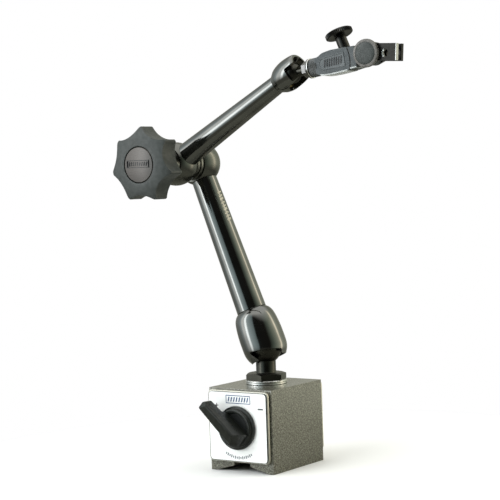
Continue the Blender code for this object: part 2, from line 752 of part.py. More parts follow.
def make_top_stud(stud):
    joint = math.sqrt(TOP_BALL_R**2 - TOP_NECK_R**2)
    profile = [
        (0.0, STUD_END),
        (STUD_SHANK_R, STUD_END),
        (STUD_SHANK_R, 15.0),
        (STUD_FLANGE_R, 15.0),
        (STUD_FLANGE_R, 14.2),
        (STUD_FLANGE_R - 1.2, 13.2),
        (TOP_NECK_R, 12.4),
    ]
    ball = sphere_side(TOP_BALL_R, joint, -6.6, 10)
    profile += ball + [(0.0, -TOP_BALL_R)]
    piece = turned("top_ball_stud", profile, stud, "bare_steel", 28)
    nut = plate("top_stud_hexagon", arc(5.3, 0, 300, 5), 10.6, 13.4, stud, None, 0.3)
    join(piece, nut)


# --- fine-adjustment head ----------------------------------------------------------


def head_outline():
    """Side view of the head block: rounded nose, nearly parallel sides, arched end."""
    reach = math.degrees(math.asin(7.2 / CHEEK_ARC_R))
    points = [(21.5, -4.6), (23.4, -6.0), (26.0, -6.9), (35.0, -7.4)]
    points += arc(CHEEK_ARC_R, -reach, reach, 8, (PIVOT_S, 0.0))
    points += [(34.0, 7.7), (28.0, 7.0), (24.8, 5.6), (21.5, 4.6)]
    return points


def lever_outline():
    """Side view of the thin lever: tongue in the head, and the eye for the clamp."""
    eye = arc(EYE_R, -125, 125, 16, (CLAMP_S, 0.2))
    points = [(22.8, LEVER_BOTTOM), (LEVER_BLOCK_END - 1.5, LEVER_BOTTOM)]
    points += eye + [(LEVER_BLOCK_END - 1.5, LEVER_TOP), (22.8, LEVER_TOP)]
    return points


def make_head(stud, side):
    """stud has Z along the head's axis; side has X along it, Y up and Z to the front."""
    ring = tube_profile(6.35, STUD_SHANK_R + GAP, RING_START, BOSS_START - GAP)
    turned("head_ring", ring, stud, "chrome", 32)
    body = plate("head_body", head_outline(), -HEAD_HALF, HEAD_HALF, side, "head_grey",
                 bevel=0.7)
    boss = turned("head_boss",
                  [(0.0, 24.5), (4.9, 24.5), (BOSS_R, 23.0), (BOSS_R, BOSS_START + 0.5),
                   (BOSS_R - 0.5, BOSS_START), (0.0, BOSS_START)], stud, None, 28)
    join(body, boss)
    bore = turned("head_bore",
                  cylinder_profile(STUD_SHANK_R + GAP, BOSS_START - 1, STUD_END + GAP),
                  stud, None, 20)
    cut(body, bore)
    slot = rounded_rectangle(SLOT_START, 70.0, SLOT_FLOOR, SLOT_TOP, 0.5)
    cut(body, plate("head_slot", slot, -SLOT_HEAD_HALF, SLOT_HEAD_HALF, side, None))
    drill(body, "head_pin_hole", side, PIN_R + 0.1, -HEAD_HALF - 1, 4.2, (PIVOT_S, 0.0), 16)
    pin = turned("head_pin", cylinder_profile(PIN_R, -HEAD_HALF + 0.1, 4.0), side,
                 "bare_steel", 16)
    pin.location = (to_metres(PIVOT_S), 0.0, 0.0)
    return body


def make_return_spring(side):
    """A short coil between the floor of the head's slot and the lever."""
    steps = 8
    rise = LEVER_BOTTOM - SLOT_FLOOR - 2 * SPRING_WIRE_R - 0.9
    curve = bpy.data.curves.new("return_spring", "CURVE")
    curve.dimensions = "3D"
    curve.bevel_depth = to_metres(SPRING_WIRE_R)
    curve.bevel_resolution = 2
    curve.use_fill_caps = True
    spline = curve.splines.new("POLY")
    spline.points.add(SPRING_TURNS * steps)
    for i, point in enumerate(spline.points):
        angle = 2 * math.pi * i / steps
        height = SLOT_FLOOR + 0.45 + SPRING_WIRE_R + rise * i / (SPRING_TURNS * steps)
        x = SPRING_S + SPRING_R * math.cos(angle)
        z = SPRING_R * math.sin(angle)
        point.co = (to_metres(x), to_metres(height), to_metres(z), 1.0)
    piece = bpy.data.objects.new("return_spring", curve)
    curve.materials.append(make_material("spring_steel"))
    PARTS.objects.link(piece)
    piece.parent = side


def make_lever(side):
    lever = plate("fine_lever", lever_outline(), -LEVER_HALF, LEVER_HALF, side, "head_grey")
    start = CHEEK_ARC_R + 0.5
    reach = math.degrees(math.asin(7.0 / start))
    block = arc(start, reach, -reach, 8, (PIVOT_S, 0.0))
    block += [(LEVER_BLOCK_END, -6.6), (LEVER_BLOCK_END, 6.8)]
    join(lever, plate("lever_block", block, -HEAD_HALF, HEAD_HALF, side, None, 0.5))
    drill(lever, "lever_pin_hole", side, PIN_R + 0.1, -9, 9, (PIVOT_S, 0.0), 16)
    drill(lever, "lever_eye_hole", side, CLAMP_BOLT_R + GAP, -9, 9, (CLAMP_S, 0.2), 20)


def make_fine_screw(axis, body):
    """axis has Z up the screw, from the point where it enters the head."""
    screw = [
        (0.0, STEM_END + 2.9), (FINE_SHANK_R, STEM_END + 2.9), (FINE_SHANK_R, STEM_END),
        (STEM_R, STEM_END), (STEM_R, -0.3), (FINE_SHANK_R, -0.3), (FINE_SHANK_R, -2.5),
        (1.0, -3.1), (0.0, -3.3),
    ]
    turned("fine_screw", screw, axis, "black_oxide", 24)
    low = STEM_END + GAP
    wheel = [
        (WHEEL_R - 0.5, low + WHEEL_THICK), (WHEEL_R, low + WHEEL_THICK - 0.5),
        (WHEEL_R, low + 0.5), (WHEEL_R - 0.5, low), (FINE_SHANK_R + GAP, low),
        (FINE_SHANK_R + GAP, low + WHEEL_THICK),
    ]
    turned("fine_screw_wheel", wheel, axis, "black_oxide", 36)
    drill(body, "fine_screw_hole", axis, FINE_SHANK_R + GAP, -6.0, 2.0, segments=20)
    drill(body, "fine_screw_seat", axis, STEM_R + 0.4, -1.3, 6.0, segments=24)


# --- clamp -------------------------------------------------------------------------


def jaw_outline():
    """A round end over the swivel, and a straight jaw beyond it."""
    top = math.degrees(math.asin(JAW_TOP / JAW_EYE_R))
    points = arc(JAW_EYE_R, top, 290, 18)
    points += [(JAW_KINK, JAW_BOTTOM), (JAW_END, JAW_BOTTOM), (JAW_END, JAW_TOP)]
    return points


def make_jaw(name, near, far, clamp):
    """near is the inner face and far the outer one, as heights along the clamp's Z."""
    side = 1 if far > near else -1
    jaw = plate(name, jaw_outline(), min(near, far), max(near, far), clamp, "black_oxide",
                bevel=0.3)
    low, high = min(near, far) - 1, max(near, far) + 1
    drill(jaw, name + "_bolt_hole", clamp, CLAMP_BOLT_R + GAP, low, high, segments=20)
    drill(jaw, name + "_hole", clamp, JAW_HOLE_R, low, high, (JAW_HOLE_X, 0.3), 20)
    floor = near + side * DOVETAIL_DEPTH
    groove = [(12.8, near - side * 0.3), (13.6, floor), (18.6, floor), (19.3, near - side * 0.3)]
    dovetail = plate(name + "_dovetail", [(x, -z) for x, z in groove], -12.0, 12.0, clamp,
                     None, axis="Y")
    cut(jaw, dovetail)


def make_clamp(clamp):
    inner = JAW_GAP / 2
    make_jaw("clamp_front_jaw", inner, inner + FRONT_JAW_THICK, clamp)
    make_jaw("clamp_rear_jaw", -inner, -inner - REAR_JAW_THICK, clamp)
    head = -inner - REAR_JAW_THICK - GAP
    end = inner + FRONT_JAW_THICK + GAP + 2.2
    bolt = [
        (0.0, end), (CLAMP_BOLT_R, end), (CLAMP_BOLT_R, head), (4.2, head),
        (3.9, head - 1.2), (2.4, head - 2.0), (0.0, head - 2.3),
    ]
    turned("clamp_bolt", bolt, clamp, "black_oxide", 20)
    low = inner + FRONT_JAW_THICK + GAP
    high = low + CLAMP_KNOB_THICK
    knob = [
        (0.0, high), (CLAMP_KNOB_R * 0.55, high - 0.15), (CLAMP_KNOB_R * 0.85, high - 0.6),
        (CLAMP_KNOB_R, high - 1.2), (CLAMP_KNOB_R, low + 0.4), (CLAMP_KNOB_R - 0.4, low),
        (CLAMP_BOLT_R + GAP, low), (CLAMP_BOLT_R + GAP, end + GAP), (0.0, end + GAP),
    ]
    turned("clamp_knob", knob, clamp, "grey_plastic", 36)


clear_scene()
PARTS = make_collection("indicator_holder")
CUTTERS = make_collection("cutters")

root = make_frame("holder", None, (-CENTRE_X, -CENTRE_Y, 0), (0, 0, 0))
base_front = make_frame("base_front", root, (0, 0, 0), (90, 0, 0))
switch_axis = make_frame("switch_axis", root, (0, -SWITCH_Y, ROTOR_Z), (90, 0, 0))
base_ball = make_frame("base_ball", root, (0, ARM_Y, BALL_HEIGHT), (0, 0, 0))
lower_axis = make_frame("lower_axis", root, (0, ARM_Y, BALL_HEIGHT), (0, LOWER_LEAN, 0))

lean_angle = math.radians(LOWER_LEAN)
elbow_x = LOWER_LENGTH * math.sin(lean_angle)
elbow_z = BALL_HEIGHT + LOWER_LENGTH * math.cos(lean_angle)
elbow_axis = make_frame("elbow_axis", root, (elbow_x, ARM_Y, elbow_z), (90, 0, 0))
upper_axis = make_frame("upper_axis", root, (elbow_x, ARM_Y - ARM_OFFSET, elbow_z),
                        (0, 90 - UPPER_RISE, 0))

rise_angle = math.radians(UPPER_RISE)
ball_x = elbow_x + UPPER_LENGTH * math.cos(rise_angle)
ball_z = elbow_z + UPPER_LENGTH * math.sin(rise_angle)
top_ball = (ball_x, ARM_Y - ARM_OFFSET, ball_z)
socket_axis = make_frame("socket_axis", root, top_ball, (0, 270 - UPPER_RISE, 0))
head_axis = make_frame("head_axis", root, top_ball, (0, 90 - HEAD_RISE, 0))
head_side = make_frame("head_side", head_axis, (0, 0, 0), (0, 0, 0))
head_side.rotation_mode = "QUATERNION"
side_turn = Matrix(((0, -1, 0), (0, 0, -1), (1, 0, 0)))
head_side.rotation_quaternion = side_turn.to_quaternion()
screw_axis = make_frame("screw_axis", head_side, (SCREW_S, SCREW_V, 0), (0, 0, 0))
screw_axis.rotation_mode = "QUATERNION"
screw_lean = math.radians(SCREW_LEAN)
screw_up = Vector((-math.sin(screw_lean), math.cos(screw_lean), 0))
screw_axis.rotation_quaternion = screw_up.to_track_quat("Z", "Y")
clamp_axis = make_frame("clamp_axis", head_side, (CLAMP_S, 0.2, 0),
                        (0, 0, CLAMP_RISE - HEAD_RISE))

make_base(base_front)
make_plates(base_front)
make_rotor(switch_axis)
make_switch_handle(switch_axis)
make_base_stud(base_ball)
make_lower_socket(lower_axis)
make_lower_arm(lower_axis)
make_elbow(elbow_axis)
make_front_head(elbow_axis)
make_knob(elbow_axis)
make_upper_arm(upper_axis)
make_upper_socket(socket_axis)
make_top_stud(head_axis)
head_block = make_head(head_axis, head_side)
make_return_spring(head_side)
make_lever(head_side)
make_fine_screw(screw_axis, head_block)
make_clamp(clamp_axis)
bpy.context.view_layer.update()
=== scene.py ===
"""Looks of the articulated indicator holder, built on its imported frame.

Lengths are in millimetres and angles in degrees until a mesh or the camera is made.
"""

import json
import math

import bmesh
import bpy
from mathutils import Matrix, Vector


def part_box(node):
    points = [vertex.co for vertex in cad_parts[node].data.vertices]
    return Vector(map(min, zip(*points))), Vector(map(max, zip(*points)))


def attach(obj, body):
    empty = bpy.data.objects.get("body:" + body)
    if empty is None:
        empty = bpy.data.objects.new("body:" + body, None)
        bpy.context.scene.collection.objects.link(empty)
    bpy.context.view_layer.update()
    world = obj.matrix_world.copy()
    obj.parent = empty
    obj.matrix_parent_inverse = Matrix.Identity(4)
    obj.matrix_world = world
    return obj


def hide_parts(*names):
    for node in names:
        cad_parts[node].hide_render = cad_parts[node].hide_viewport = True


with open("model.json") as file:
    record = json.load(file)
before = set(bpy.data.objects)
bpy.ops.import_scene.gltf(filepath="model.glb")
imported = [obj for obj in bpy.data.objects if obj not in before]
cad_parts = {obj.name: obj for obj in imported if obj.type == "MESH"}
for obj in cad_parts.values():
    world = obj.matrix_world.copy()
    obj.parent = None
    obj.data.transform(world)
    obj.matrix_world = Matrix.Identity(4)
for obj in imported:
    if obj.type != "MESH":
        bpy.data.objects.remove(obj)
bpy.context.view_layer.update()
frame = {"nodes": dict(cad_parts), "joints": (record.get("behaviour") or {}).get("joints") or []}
NODES = frame["nodes"]
JOINTS = {joint["name"]: joint for joint in frame["joints"]}
FINE = 128  # segments of the largest turned forms

# --- places, read from the frame ---


def joint_place(name):
    return Vector(JOINTS[name]["pos_m"]) * 1000


def joint_axis(name):
    return Vector(JOINTS[name]["axis"]).normalized()


def node_box(name):
    low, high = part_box(name)
    return low * 1000, high * 1000


def make_axes(origin, x_axis, z_axis):
    """A frame from its origin and two of its axes."""
    z_axis = z_axis.normalized()
    y_axis = z_axis.cross(x_axis).normalized()
    x_axis = y_axis.cross(z_axis)
    matrix = Matrix((x_axis, y_axis, z_axis)).transposed().to_4x4()
    matrix.translation = origin
    return matrix


def turn(axes, angle, axis="Z"):
    return axes @ Matrix.Rotation(math.radians(angle), 4, axis)


def shift(axes, x, y, z):
    return axes @ Matrix.Translation((x, y, z))


RIGHT = Vector((1, 0, 0))
BACK = Vector((0, 1, 0))
UP = Vector((0, 0, 1))

left_low, _ = node_box("pole_block_left")
_, right_high = node_box("pole_block_right")
base_centre = (left_low + right_high) / 2
base_place = Vector((base_centre.x, base_centre.y, 0))
BASE = make_axes(base_place, RIGHT, UP)
BASE_FRONT = make_axes(base_place, RIGHT, -BACK)
SWITCH = make_axes(joint_place("switch_turn"), RIGHT, -BACK)
BALL = make_axes(joint_place("lower_tilt"), RIGHT, UP)

lower_up = joint_axis("lower_roll")
LOWER = make_axes(joint_place("lower_tilt"), BACK.cross(lower_up), lower_up)
elbow_place = joint_place("knob_turn")
elbow_place.y = joint_place("lower_tilt").y
ELBOW = make_axes(elbow_place, RIGHT, -BACK)
upper_up = joint_axis("upper_roll")
UPPER = make_axes(joint_place("elbow_fold"), BACK.cross(upper_up), upper_up)
UPPER_BALL = make_axes(joint_place("upper_tilt"), BACK.cross(-upper_up), -upper_up)
head_along = joint_axis("head_spin")
HEAD = make_axes(joint_place("upper_tilt"), BACK.cross(head_along), head_along)
HEAD_SIDE = make_axes(joint_place("upper_tilt"), head_along, -BACK)
SCREW = make_axes(joint_place("fine_turn"), BACK, joint_axis("fine_turn"))
CLAMP_RISE = -3.8
CLAMP = turn(make_axes(joint_place("clamp_swivel"), RIGHT, -BACK), CLAMP_RISE)

LOWER_LENGTH = (elbow_place - joint_place("lower_tilt")).length
UPPER_LENGTH = (joint_place("upper_tilt") - joint_place("elbow_fold")).length
ARM_OFFSET = elbow_place.y - joint_place("elbow_fold").y
PIVOT_S = (joint_place("fine_tilt") - joint_place("upper_tilt")).length

# --- outlines and meshes ---


def arc(radius, start, end, steps, centre=(0.0, 0.0)):
    points = []
    for i in range(steps + 1):
        angle = math.radians(start + (end - start) * i / steps)
        across = centre[0] + radius * math.cos(angle)
        points.append((across, centre[1] + radius * math.sin(angle)))
    return points


def sphere_side(radius, top, bottom, steps, centre=0.0):
    """The profile of a sphere on the axis, between two heights measured from its centre."""
    start = math.degrees(math.asin(top / radius))
    end = math.degrees(math.asin(bottom / radius))
    return arc(radius, start, end, steps, (0.0, centre))


def rounded(points, radius, closed=True, steps=4):
    """The outline with its corners eased by small curves."""
    result = []
    count = len(points)
    for i, point in enumerate(points):
        if not closed and i in (0, count - 1):
            result.append(point)
            continue
        here = Vector(point)
        before = Vector(points[i - 1]) - here
        after = Vector(points[(i + 1) % count]) - here
        bend = math.pi - before.angle(after)
        if bend < math.radians(18):
            result.append(point)
            continue
        reach = radius * math.tan(bend / 2)
        reach = min(reach, before.length * 0.45, after.length * 0.45)
        start = here + before.normalized() * reach
        end = here + after.normalized() * reach
        for k in range(steps + 1):
            t = k / steps
            eased = start * (1 - t) ** 2 + here * 2 * t * (1 - t) + end * t**2
            result.append((eased.x, eased.y))
    return result


def smooth_line(points, steps=4):
    """A smooth curve through the points, for the side of a turned form."""
    result = []
    last = len(points) - 1
    for i in range(last):
        a, b = Vector(points[max(i - 1, 0)]), Vector(points[i])
        c, d = Vector(points[i + 1]), Vector(points[min(i + 2, last)])
        for k in range(steps):
            t = k / steps
            spot = 0.5 * (2 * b + (c - a) * t + (2 * a - 5 * b + 4 * c - d) * t**2
                          + (3 * b - a - 3 * c + d) * t**3)
            result.append((spot.x, spot.y))
    return result + [points[-1]]


def rectangle(left, right, bottom, top):
    return [(left, bottom), (right, bottom), (right, top), (left, top)]


def link_object(name, data):
    item = bpy.data.objects.new(name, data)
    bpy.context.scene.collection.objects.link(item)
    return item


def new_object(name, shape, axes):
    """An object from a bmesh built in millimetres in its own axes."""
    bmesh.ops.remove_doubles(shape, verts=shape.verts, dist=0.0005)
    bmesh.ops.recalc_face_normals(shape, faces=shape.faces)
    shape.transform(Matrix.Scale(0.001, 4) @ axes)
    mesh = bpy.data.meshes.new(name)
    shape.to_mesh(mesh)
    shape.free()
    return link_object(name, mesh)


def turned(name, profile, axes, segments=96, ripple=None):
    """A turned form. ripple(radius, angle) may change a point's radius."""
    shape = bmesh.new()
    rows = []
    for radius, height in profile:
        row = []
        for i in range(segments if radius > 0 else 1):
            angle = 2 * math.pi * i / segments
            r = ripple(radius, angle) if ripple and radius > 0 else radius
            row.append(shape.verts.new((r * math.cos(angle), r * math.sin(angle), height)))
        rows.append(row)
    pairs = list(zip(rows, rows[1:]))
    if profile[0][0] > 0 and profile[-1][0] > 0:
        pairs.append((rows[-1], rows[0]))
    for first, second in pairs:
        for i in range(segments):
            j = (i + 1) % segments
            corners = [first[i % len(first)], first[j % len(first)],
                       second[j % len(second)], second[i % len(second)]]
            corners = list(dict.fromkeys(corners))
            if len(corners) > 2:
                shape.faces.new(corners)
    return new_object(name, shape, axes)


def extruded(name, outline, low, high, axes, taper=None):
    """A flat outline between two heights. taper(x, y) moves the points of the upper face."""
    shape = bmesh.new()
    bottom = [shape.verts.new((x, y, low)) for x, y in outline]
    upper = [taper(x, y) for x, y in outline] if taper else outline
    top = [shape.verts.new((x, y, high)) for x, y in upper]
    shape.faces.new(bottom)
    shape.faces.new(top)
    for i in range(len(outline)):
        j = (i + 1) % len(outline)
        shape.faces.new((bottom[i], bottom[j], top[j], top[i]))
    return new_object(name, shape, axes)


def bake(piece):
    """Replace the object's mesh with the result of its modifiers."""
    evaluated = piece.evaluated_get(bpy.context.evaluated_depsgraph_get())
    mesh = bpy.data.meshes.new_from_object(evaluated)
    piece.modifiers.clear()
    old = piece.data
    piece.data = mesh
    bpy.data.meshes.remove(old)


def combine(piece, other, operation):
    """Cut, join or intersect two closed forms, and remove the second one."""
    modifier = piece.modifiers.new("Boolean", "BOOLEAN")
    modifier.operation = operation
    modifier.solver = "EXACT"
    modifier.object = other
    bpy.context.view_layer.update()
    bake(piece)
    bpy.data.objects.remove(other, do_unlink=True)


def cut(piece, other):
    combine(piece, other, "DIFFERENCE")


def join(piece, other):
    combine(piece, other, "UNION")


def drill(piece, radius, low, high, axes, segments=48):
    profile = [(0, high), (radius, high), (radius, low), (0, low)]
    cut(piece, turned("drill", profile, axes, segments))


def merge(name, pieces):
    """Several objects joined as one mesh."""
    shape = bmesh.new()
    result = link_object(name, bpy.data.meshes.new(name))
    for piece in pieces:
        shape.from_mesh(piece.data)
        bpy.data.objects.remove(piece, do_unlink=True)
    shape.to_mesh(result.data)
    shape.free()
    return result


def ease_edges(piece, width, angle=35, segments=3):
    bevel = piece.modifiers.new("Edges", "BEVEL")
    bevel.width = width * 0.001
    bevel.segments = segments
    bevel.limit_method = "ANGLE"
    bevel.angle_limit = math.radians(angle)
    bevel.harden_normals = True


def dress(piece, body, finish, slot, *replaced, crease=32):
    """Give a finished form its material, its body and the CAD nodes that it stands for."""
    mesh = piece.data
    mesh.materials.clear()
    mesh.materials.append(finish)
    mesh.shade_smooth()
    mesh.set_sharp_from_angle(angle=math.radians(crease))
    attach(piece, body)
    if replaced:
        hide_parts(*replaced)


# --- materials ---


NOISE_LOW = 0.3
NOISE_HIGH = 0.7


def ramp_node(tree, source, stops):
    """A colour ramp from (position, colour) stops, joined to a source."""
    node = tree.nodes.new("ShaderNodeValToRGB")
    elements = node.color_ramp.elements
    while len(elements) < len(stops):
        elements.new(0.5)
    for element, (position, colour) in zip(elements, stops):
        element.position = position
        element.color = (*colour, 1)
    tree.links.new(source, node.inputs["Fac"])
    return node.outputs["Color"]


def range_node(tree, source, start, end, low=0.0, high=1.0):
    """The source's range from start to end, stretched to run from low to high."""
    node = tree.nodes.new("ShaderNodeMapRange")
    limits = {"From Min": start, "From Max": end, "To Min": low, "To Max": high}
    for name, value in limits.items():
        node.inputs[name].default_value = value
    tree.links.new(source, node.inputs["Value"])
    return node.outputs["Result"]


class Finish:
    """A procedural material made by adding nodes to a Principled shader."""

    def __init__(self, name, colour, roughness, metallic=0.0):
        self.material = bpy.data.materials.new(name)
        self.material.use_nodes = True
        self.nodes = self.material.node_tree.nodes
        self.links = self.material.node_tree.links
        self.shader = self.nodes["Principled BSDF"]
        self.shader.inputs["Base Color"].default_value = (*colour, 1)
        self.shader.inputs["Roughness"].default_value = roughness
        self.shader.inputs["Metallic"].default_value = metallic
        self.place = self.nodes.new("ShaderNodeTexCoord").outputs["Object"]
        self.bump = None

    def set(self, **values):
        for name, value in values.items():
            self.shader.inputs[name.replace("_", " ")].default_value = value

    def in_axes(self, axes):
        """Coordinates in millimetres in the axes of a piece at rest."""
        mapping = self.nodes.new("ShaderNodeMapping")
        mapping.vector_type = "POINT"
        inverse = axes.inverted()
        turn_back = inverse.to_3x3().to_euler("XYZ")
        mapping.inputs["Rotation"].default_value = turn_back
        mapping.inputs["Location"].default_value = inverse.translation
        mapping.inputs["Scale"].default_value = (1000, 1000, 1000)
        self.links.new(self.place, mapping.inputs["Vector"])
        return mapping.outputs["Vector"]

    def noise(self, size, detail=3.0, vector=None, roughness=0.5):
        node = self.nodes.new("ShaderNodeTexNoise")
        node.inputs["Scale"].default_value = 1000 / size
        node.inputs["Detail"].default_value = detail
        node.inputs["Roughness"].default_value = roughness
        self.links.new(vector or self.place, node.inputs["Vector"])
        return node.outputs["Fac"]

    def cells(self, size):
        node = self.nodes.new("ShaderNodeTexVoronoi")
        node.feature = "SMOOTH_F1"
        node.inputs["Scale"].default_value = 1000 / size
        self.links.new(self.place, node.inputs["Vector"])
        return node.outputs["Distance"]

    def ramp(self, source, stops):
        return ramp_node(self.material.node_tree, source, stops)

    def colour_from(self, source):
        self.links.new(source, self.shader.inputs["Base Color"])

    def shade_from(self, source, colour, dark, light=1.0):
        """The colour, darkened and lightened by two factors over the range of a noise."""
        ends = ((NOISE_LOW, dark), (NOISE_HIGH, light))
        stops = [(place, tuple(c * factor for c in colour)) for place, factor in ends]
        self.colour_from(self.ramp(source, stops))

    def roughness_from(self, source, low, high):
        tree = self.material.node_tree
        result = range_node(tree, source, NOISE_LOW, NOISE_HIGH, low, high)
        self.links.new(result, self.shader.inputs["Roughness"])

    def relief(self, source, height, strength=1.0):
        """A bump of the given height in millimetres, added to any earlier one."""
        node = self.nodes.new("ShaderNodeBump")
        node.inputs["Strength"].default_value = strength
        node.inputs["Distance"].default_value = height * 0.001
        self.links.new(source, node.inputs["Height"])
        if self.bump:
            self.links.new(self.bump, node.inputs["Normal"])
        self.bump = node.outputs["Normal"]
        self.links.new(self.bump, self.shader.inputs["Normal"])


def make_hammertone():
    finish = Finish("hammertone_enamel", (0.16, 0.16, 0.14), 0.36, 0.25)
    finish.set(Coat_Weight=1.0, Coat_Roughness=0.2)
    specks = finish.noise(0.95, 4.0, roughness=0.65)
    stops = [(0.37, (0.052, 0.05, 0.034)), (0.5, (0.12, 0.117, 0.09)), (0.63, (0.27, 0.266, 0.216))]
    finish.colour_from(finish.ramp(specks, stops))
    finish.roughness_from(finish.noise(2.4), 0.26, 0.46)
    finish.relief(finish.cells(1.1), 0.1, 0.5)
    finish.relief(finish.noise(0.6, 2.0), 0.04, 0.4)
    return finish.material


def make_black_chrome(name, colour, low=0.07, high=0.14):
    finish = Finish(name, colour, 0.13, 1.0)
    finish.shade_from(finish.noise(14.0), colour, 0.88, 1.12)
    finish.roughness_from(finish.noise(5.0, 5.0), low, high)
    finish.relief(finish.noise(9.0, 2.0), 0.02, 0.12)
    return finish.material


def make_plastic(name, dark, light, roughness, grain=0.5):
    finish = Finish(name, light, roughness)
    finish.set(Specular_IOR_Level=0.4)
    finish.colour_from(finish.ramp(finish.noise(3.0, 4.0), [(0.35, dark), (0.65, light)]))
    finish.roughness_from(finish.noise(1.2, 3.0), roughness - 0.07, roughness + 0.08)
    finish.relief(finish.noise(grain, 3.0), 0.035, 0.5)
    return finish.material


def make_metal(name, colour, roughness, size):
    finish = Finish(name, colour, roughness, 1.0)
    lines = finish.noise(size)
    finish.shade_from(lines, colour, 0.8)
    finish.roughness_from(lines, roughness * 0.75, roughness * 1.3)
    finish.relief(lines, 0.01, 0.25)
    return finish.material


def make_paint(name, dark, light, roughness):
    finish = Finish(name, light, roughness)
    finish.colour_from(finish.ramp(finish.noise(6.0, 3.0), [(0.35, dark), (0.65, light)]))
    finish.roughness_from(finish.noise(2.0, 3.0), roughness - 0.05, roughness + 0.07)
    finish.relief(finish.noise(1.3, 2.0), 0.03, 0.3)
    return finish.material


def make_brushed(name, axes, colour, roughness):
    """Metal with fine straight lines along the first axis of its own frame."""
    finish = Finish(name, colour, roughness, 1.0)
    mapping = finish.nodes.new("ShaderNodeMapping")
    mapping.inputs["Scale"].default_value = (0.00006, 0.0022, 0.00006)
    finish.links.new(finish.in_axes(axes), mapping.inputs["Vector"])
    lines = finish.noise(1.0, 4.0, mapping.outputs["Vector"])
    finish.shade_from(lines, colour, 0.78)
    finish.roughness_from(lines, roughness * 0.8, roughness * 1.2)
    finish.relief(lines, 0.012, 0.4)
    return finish.material


HAMMERTONE = make_hammertone()
BLACK_CHROME = make_black_chrome("black_chrome", (0.175, 0.177, 0.17))
DULL_CHROME = make_black_chrome("dull_chrome", (0.14, 0.142, 0.13), 0.2, 0.3)
CHROME = make_metal("bright_chrome", (0.82, 0.82, 0.80), 0.12, 3.0)
# Satin chrome for the washer; also the painted highlight in the clamp jaw's side hole.
SATIN_CHROME_AND_GLINT = make_metal("satin_chrome", (0.78, 0.78, 0.75), 0.34, 2.0)
GUNMETAL = make_metal("gunmetal", (0.2, 0.196, 0.192), 0.28, 0.6)
STEEL = make_metal("machined_steel", (0.52, 0.52, 0.50), 0.3, 0.6)
BRASS = make_metal("brass", (0.60, 0.46, 0.21), 0.32, 0.8)
CAST = make_metal("cast_plate", (0.72, 0.70, 0.62), 0.42, 1.2)
SPRING = make_metal("spring_steel", (0.5, 0.5, 0.48), 0.28, 0.5)
# Black oxide for the screws; also painted shade in the gaps by the front plate and the lever.
BLACK_OXIDE_AND_GAP_SHADE = make_metal("black_oxide", (0.05, 0.048, 0.045), 0.3, 1.5)
STUD_FINISH = make_black_chrome("stud_black", (0.055, 0.054, 0.046), 0.24, 0.34)
JAW_FINISH = make_metal("blued_steel", (0.032, 0.031, 0.029), 0.36, 1.5)
MAGNET = make_paint("magnet_alloy", (0.07, 0.07, 0.075), (0.1, 0.1, 0.11), 0.55)
LABEL = make_paint("label_white", (0.86, 0.87, 0.86), (0.92, 0.925, 0.915), 0.38)
BLUE_INK = make_paint("blue_ink", (0.03, 0.06, 0.16), (0.05, 0.09, 0.22), 0.45)
GREY_INK = make_paint("grey_ink", (0.12, 0.13, 0.15), (0.2, 0.21, 0.23), 0.5)
GOLD_INK = make_paint("pale_gold_ink", (0.6, 0.56, 0.44), (0.72, 0.68, 0.56), 0.4)
SWITCH_BLACK = make_plastic("switch_plastic", (0.0055, 0.0065, 0.005),
                            (0.012, 0.0135, 0.0105), 0.33)
# Near-black for painted shade in the switch's dish.
DISH_SHADE_BLACK = make_plastic("dish_shade_plastic", (0.0012, 0.0015, 0.0012), (0.003, 0.0035, 0.003), 0.5)
KNOB_GREY = make_plastic("knob_plastic", (0.038, 0.043, 0.0405), (0.057, 0.063, 0.06), 0.44, 0.35)
HEAD_GREY = make_paint("head_enamel", (0.042, 0.051, 0.055), (0.053, 0.063, 0.067), 0.4)
# Pale grey for the painted highlight on the head's lower edges.
EDGE_HIGHLIGHT_GREY = make_paint("edge_highlight_paint", (0.42, 0.44, 0.43), (0.6, 0.62, 0.61), 0.4)
# Lighter grey for the head panels' frames: a painted highlight on their raised edges.
PANEL_HIGHLIGHT_GREY = make_paint("panel_highlight_enamel", (0.075, 0.086, 0.09), (0.1, 0.112, 0.117), 0.38)
BOSS_GREY = make_paint("boss_enamel", (0.05, 0.053, 0.053), (0.08, 0.084, 0.084), 0.42)
RIM_GREY = make_plastic("rim_plastic", (0.12, 0.113, 0.105), (0.2, 0.19, 0.178), 0.44, 0.35)
CAP_METAL = make_brushed("brushed_cap", ELBOW, (0.098, 0.091, 0.086), 0.3)
DARK_INK = make_paint("dark_ink", (0.012, 0.012, 0.013), (0.03, 0.03, 0.032), 0.45)

# --- magnetic base ---

BASE_HALF_WIDTH = 25.0
BASE_HALF_DEPTH = 30.0
BASE_HEIGHT = 55.0
ROTOR_Z = joint_place("switch_turn").z
SPINDLE = shift(BASE_FRONT, 0, ROTOR_Z, 0)
BORE_R = 15.3
SPINDLE_HOLE_R = 5.4
STUD_HOLE_R = 4.3
LABEL_EDGE_BACK = 0.08
GAP_SHADE_INSET = 0.55
WASHER_EXTRA = 0.6
REAR_SCREWS = range(5, 9)
TICKS = 15
TICK_RING_R = 19.8


def plate_outline(inset, radius):
    """The outline of the cover plates, shrunk by an inset."""
    low, high = node_box("front_plate")
    half = (high.x - low.x) / 2 - inset
    corners = rectangle(-half, half, low.z + inset, high.z - inset)
    return rounded(corners, radius * 1.1, steps=8)


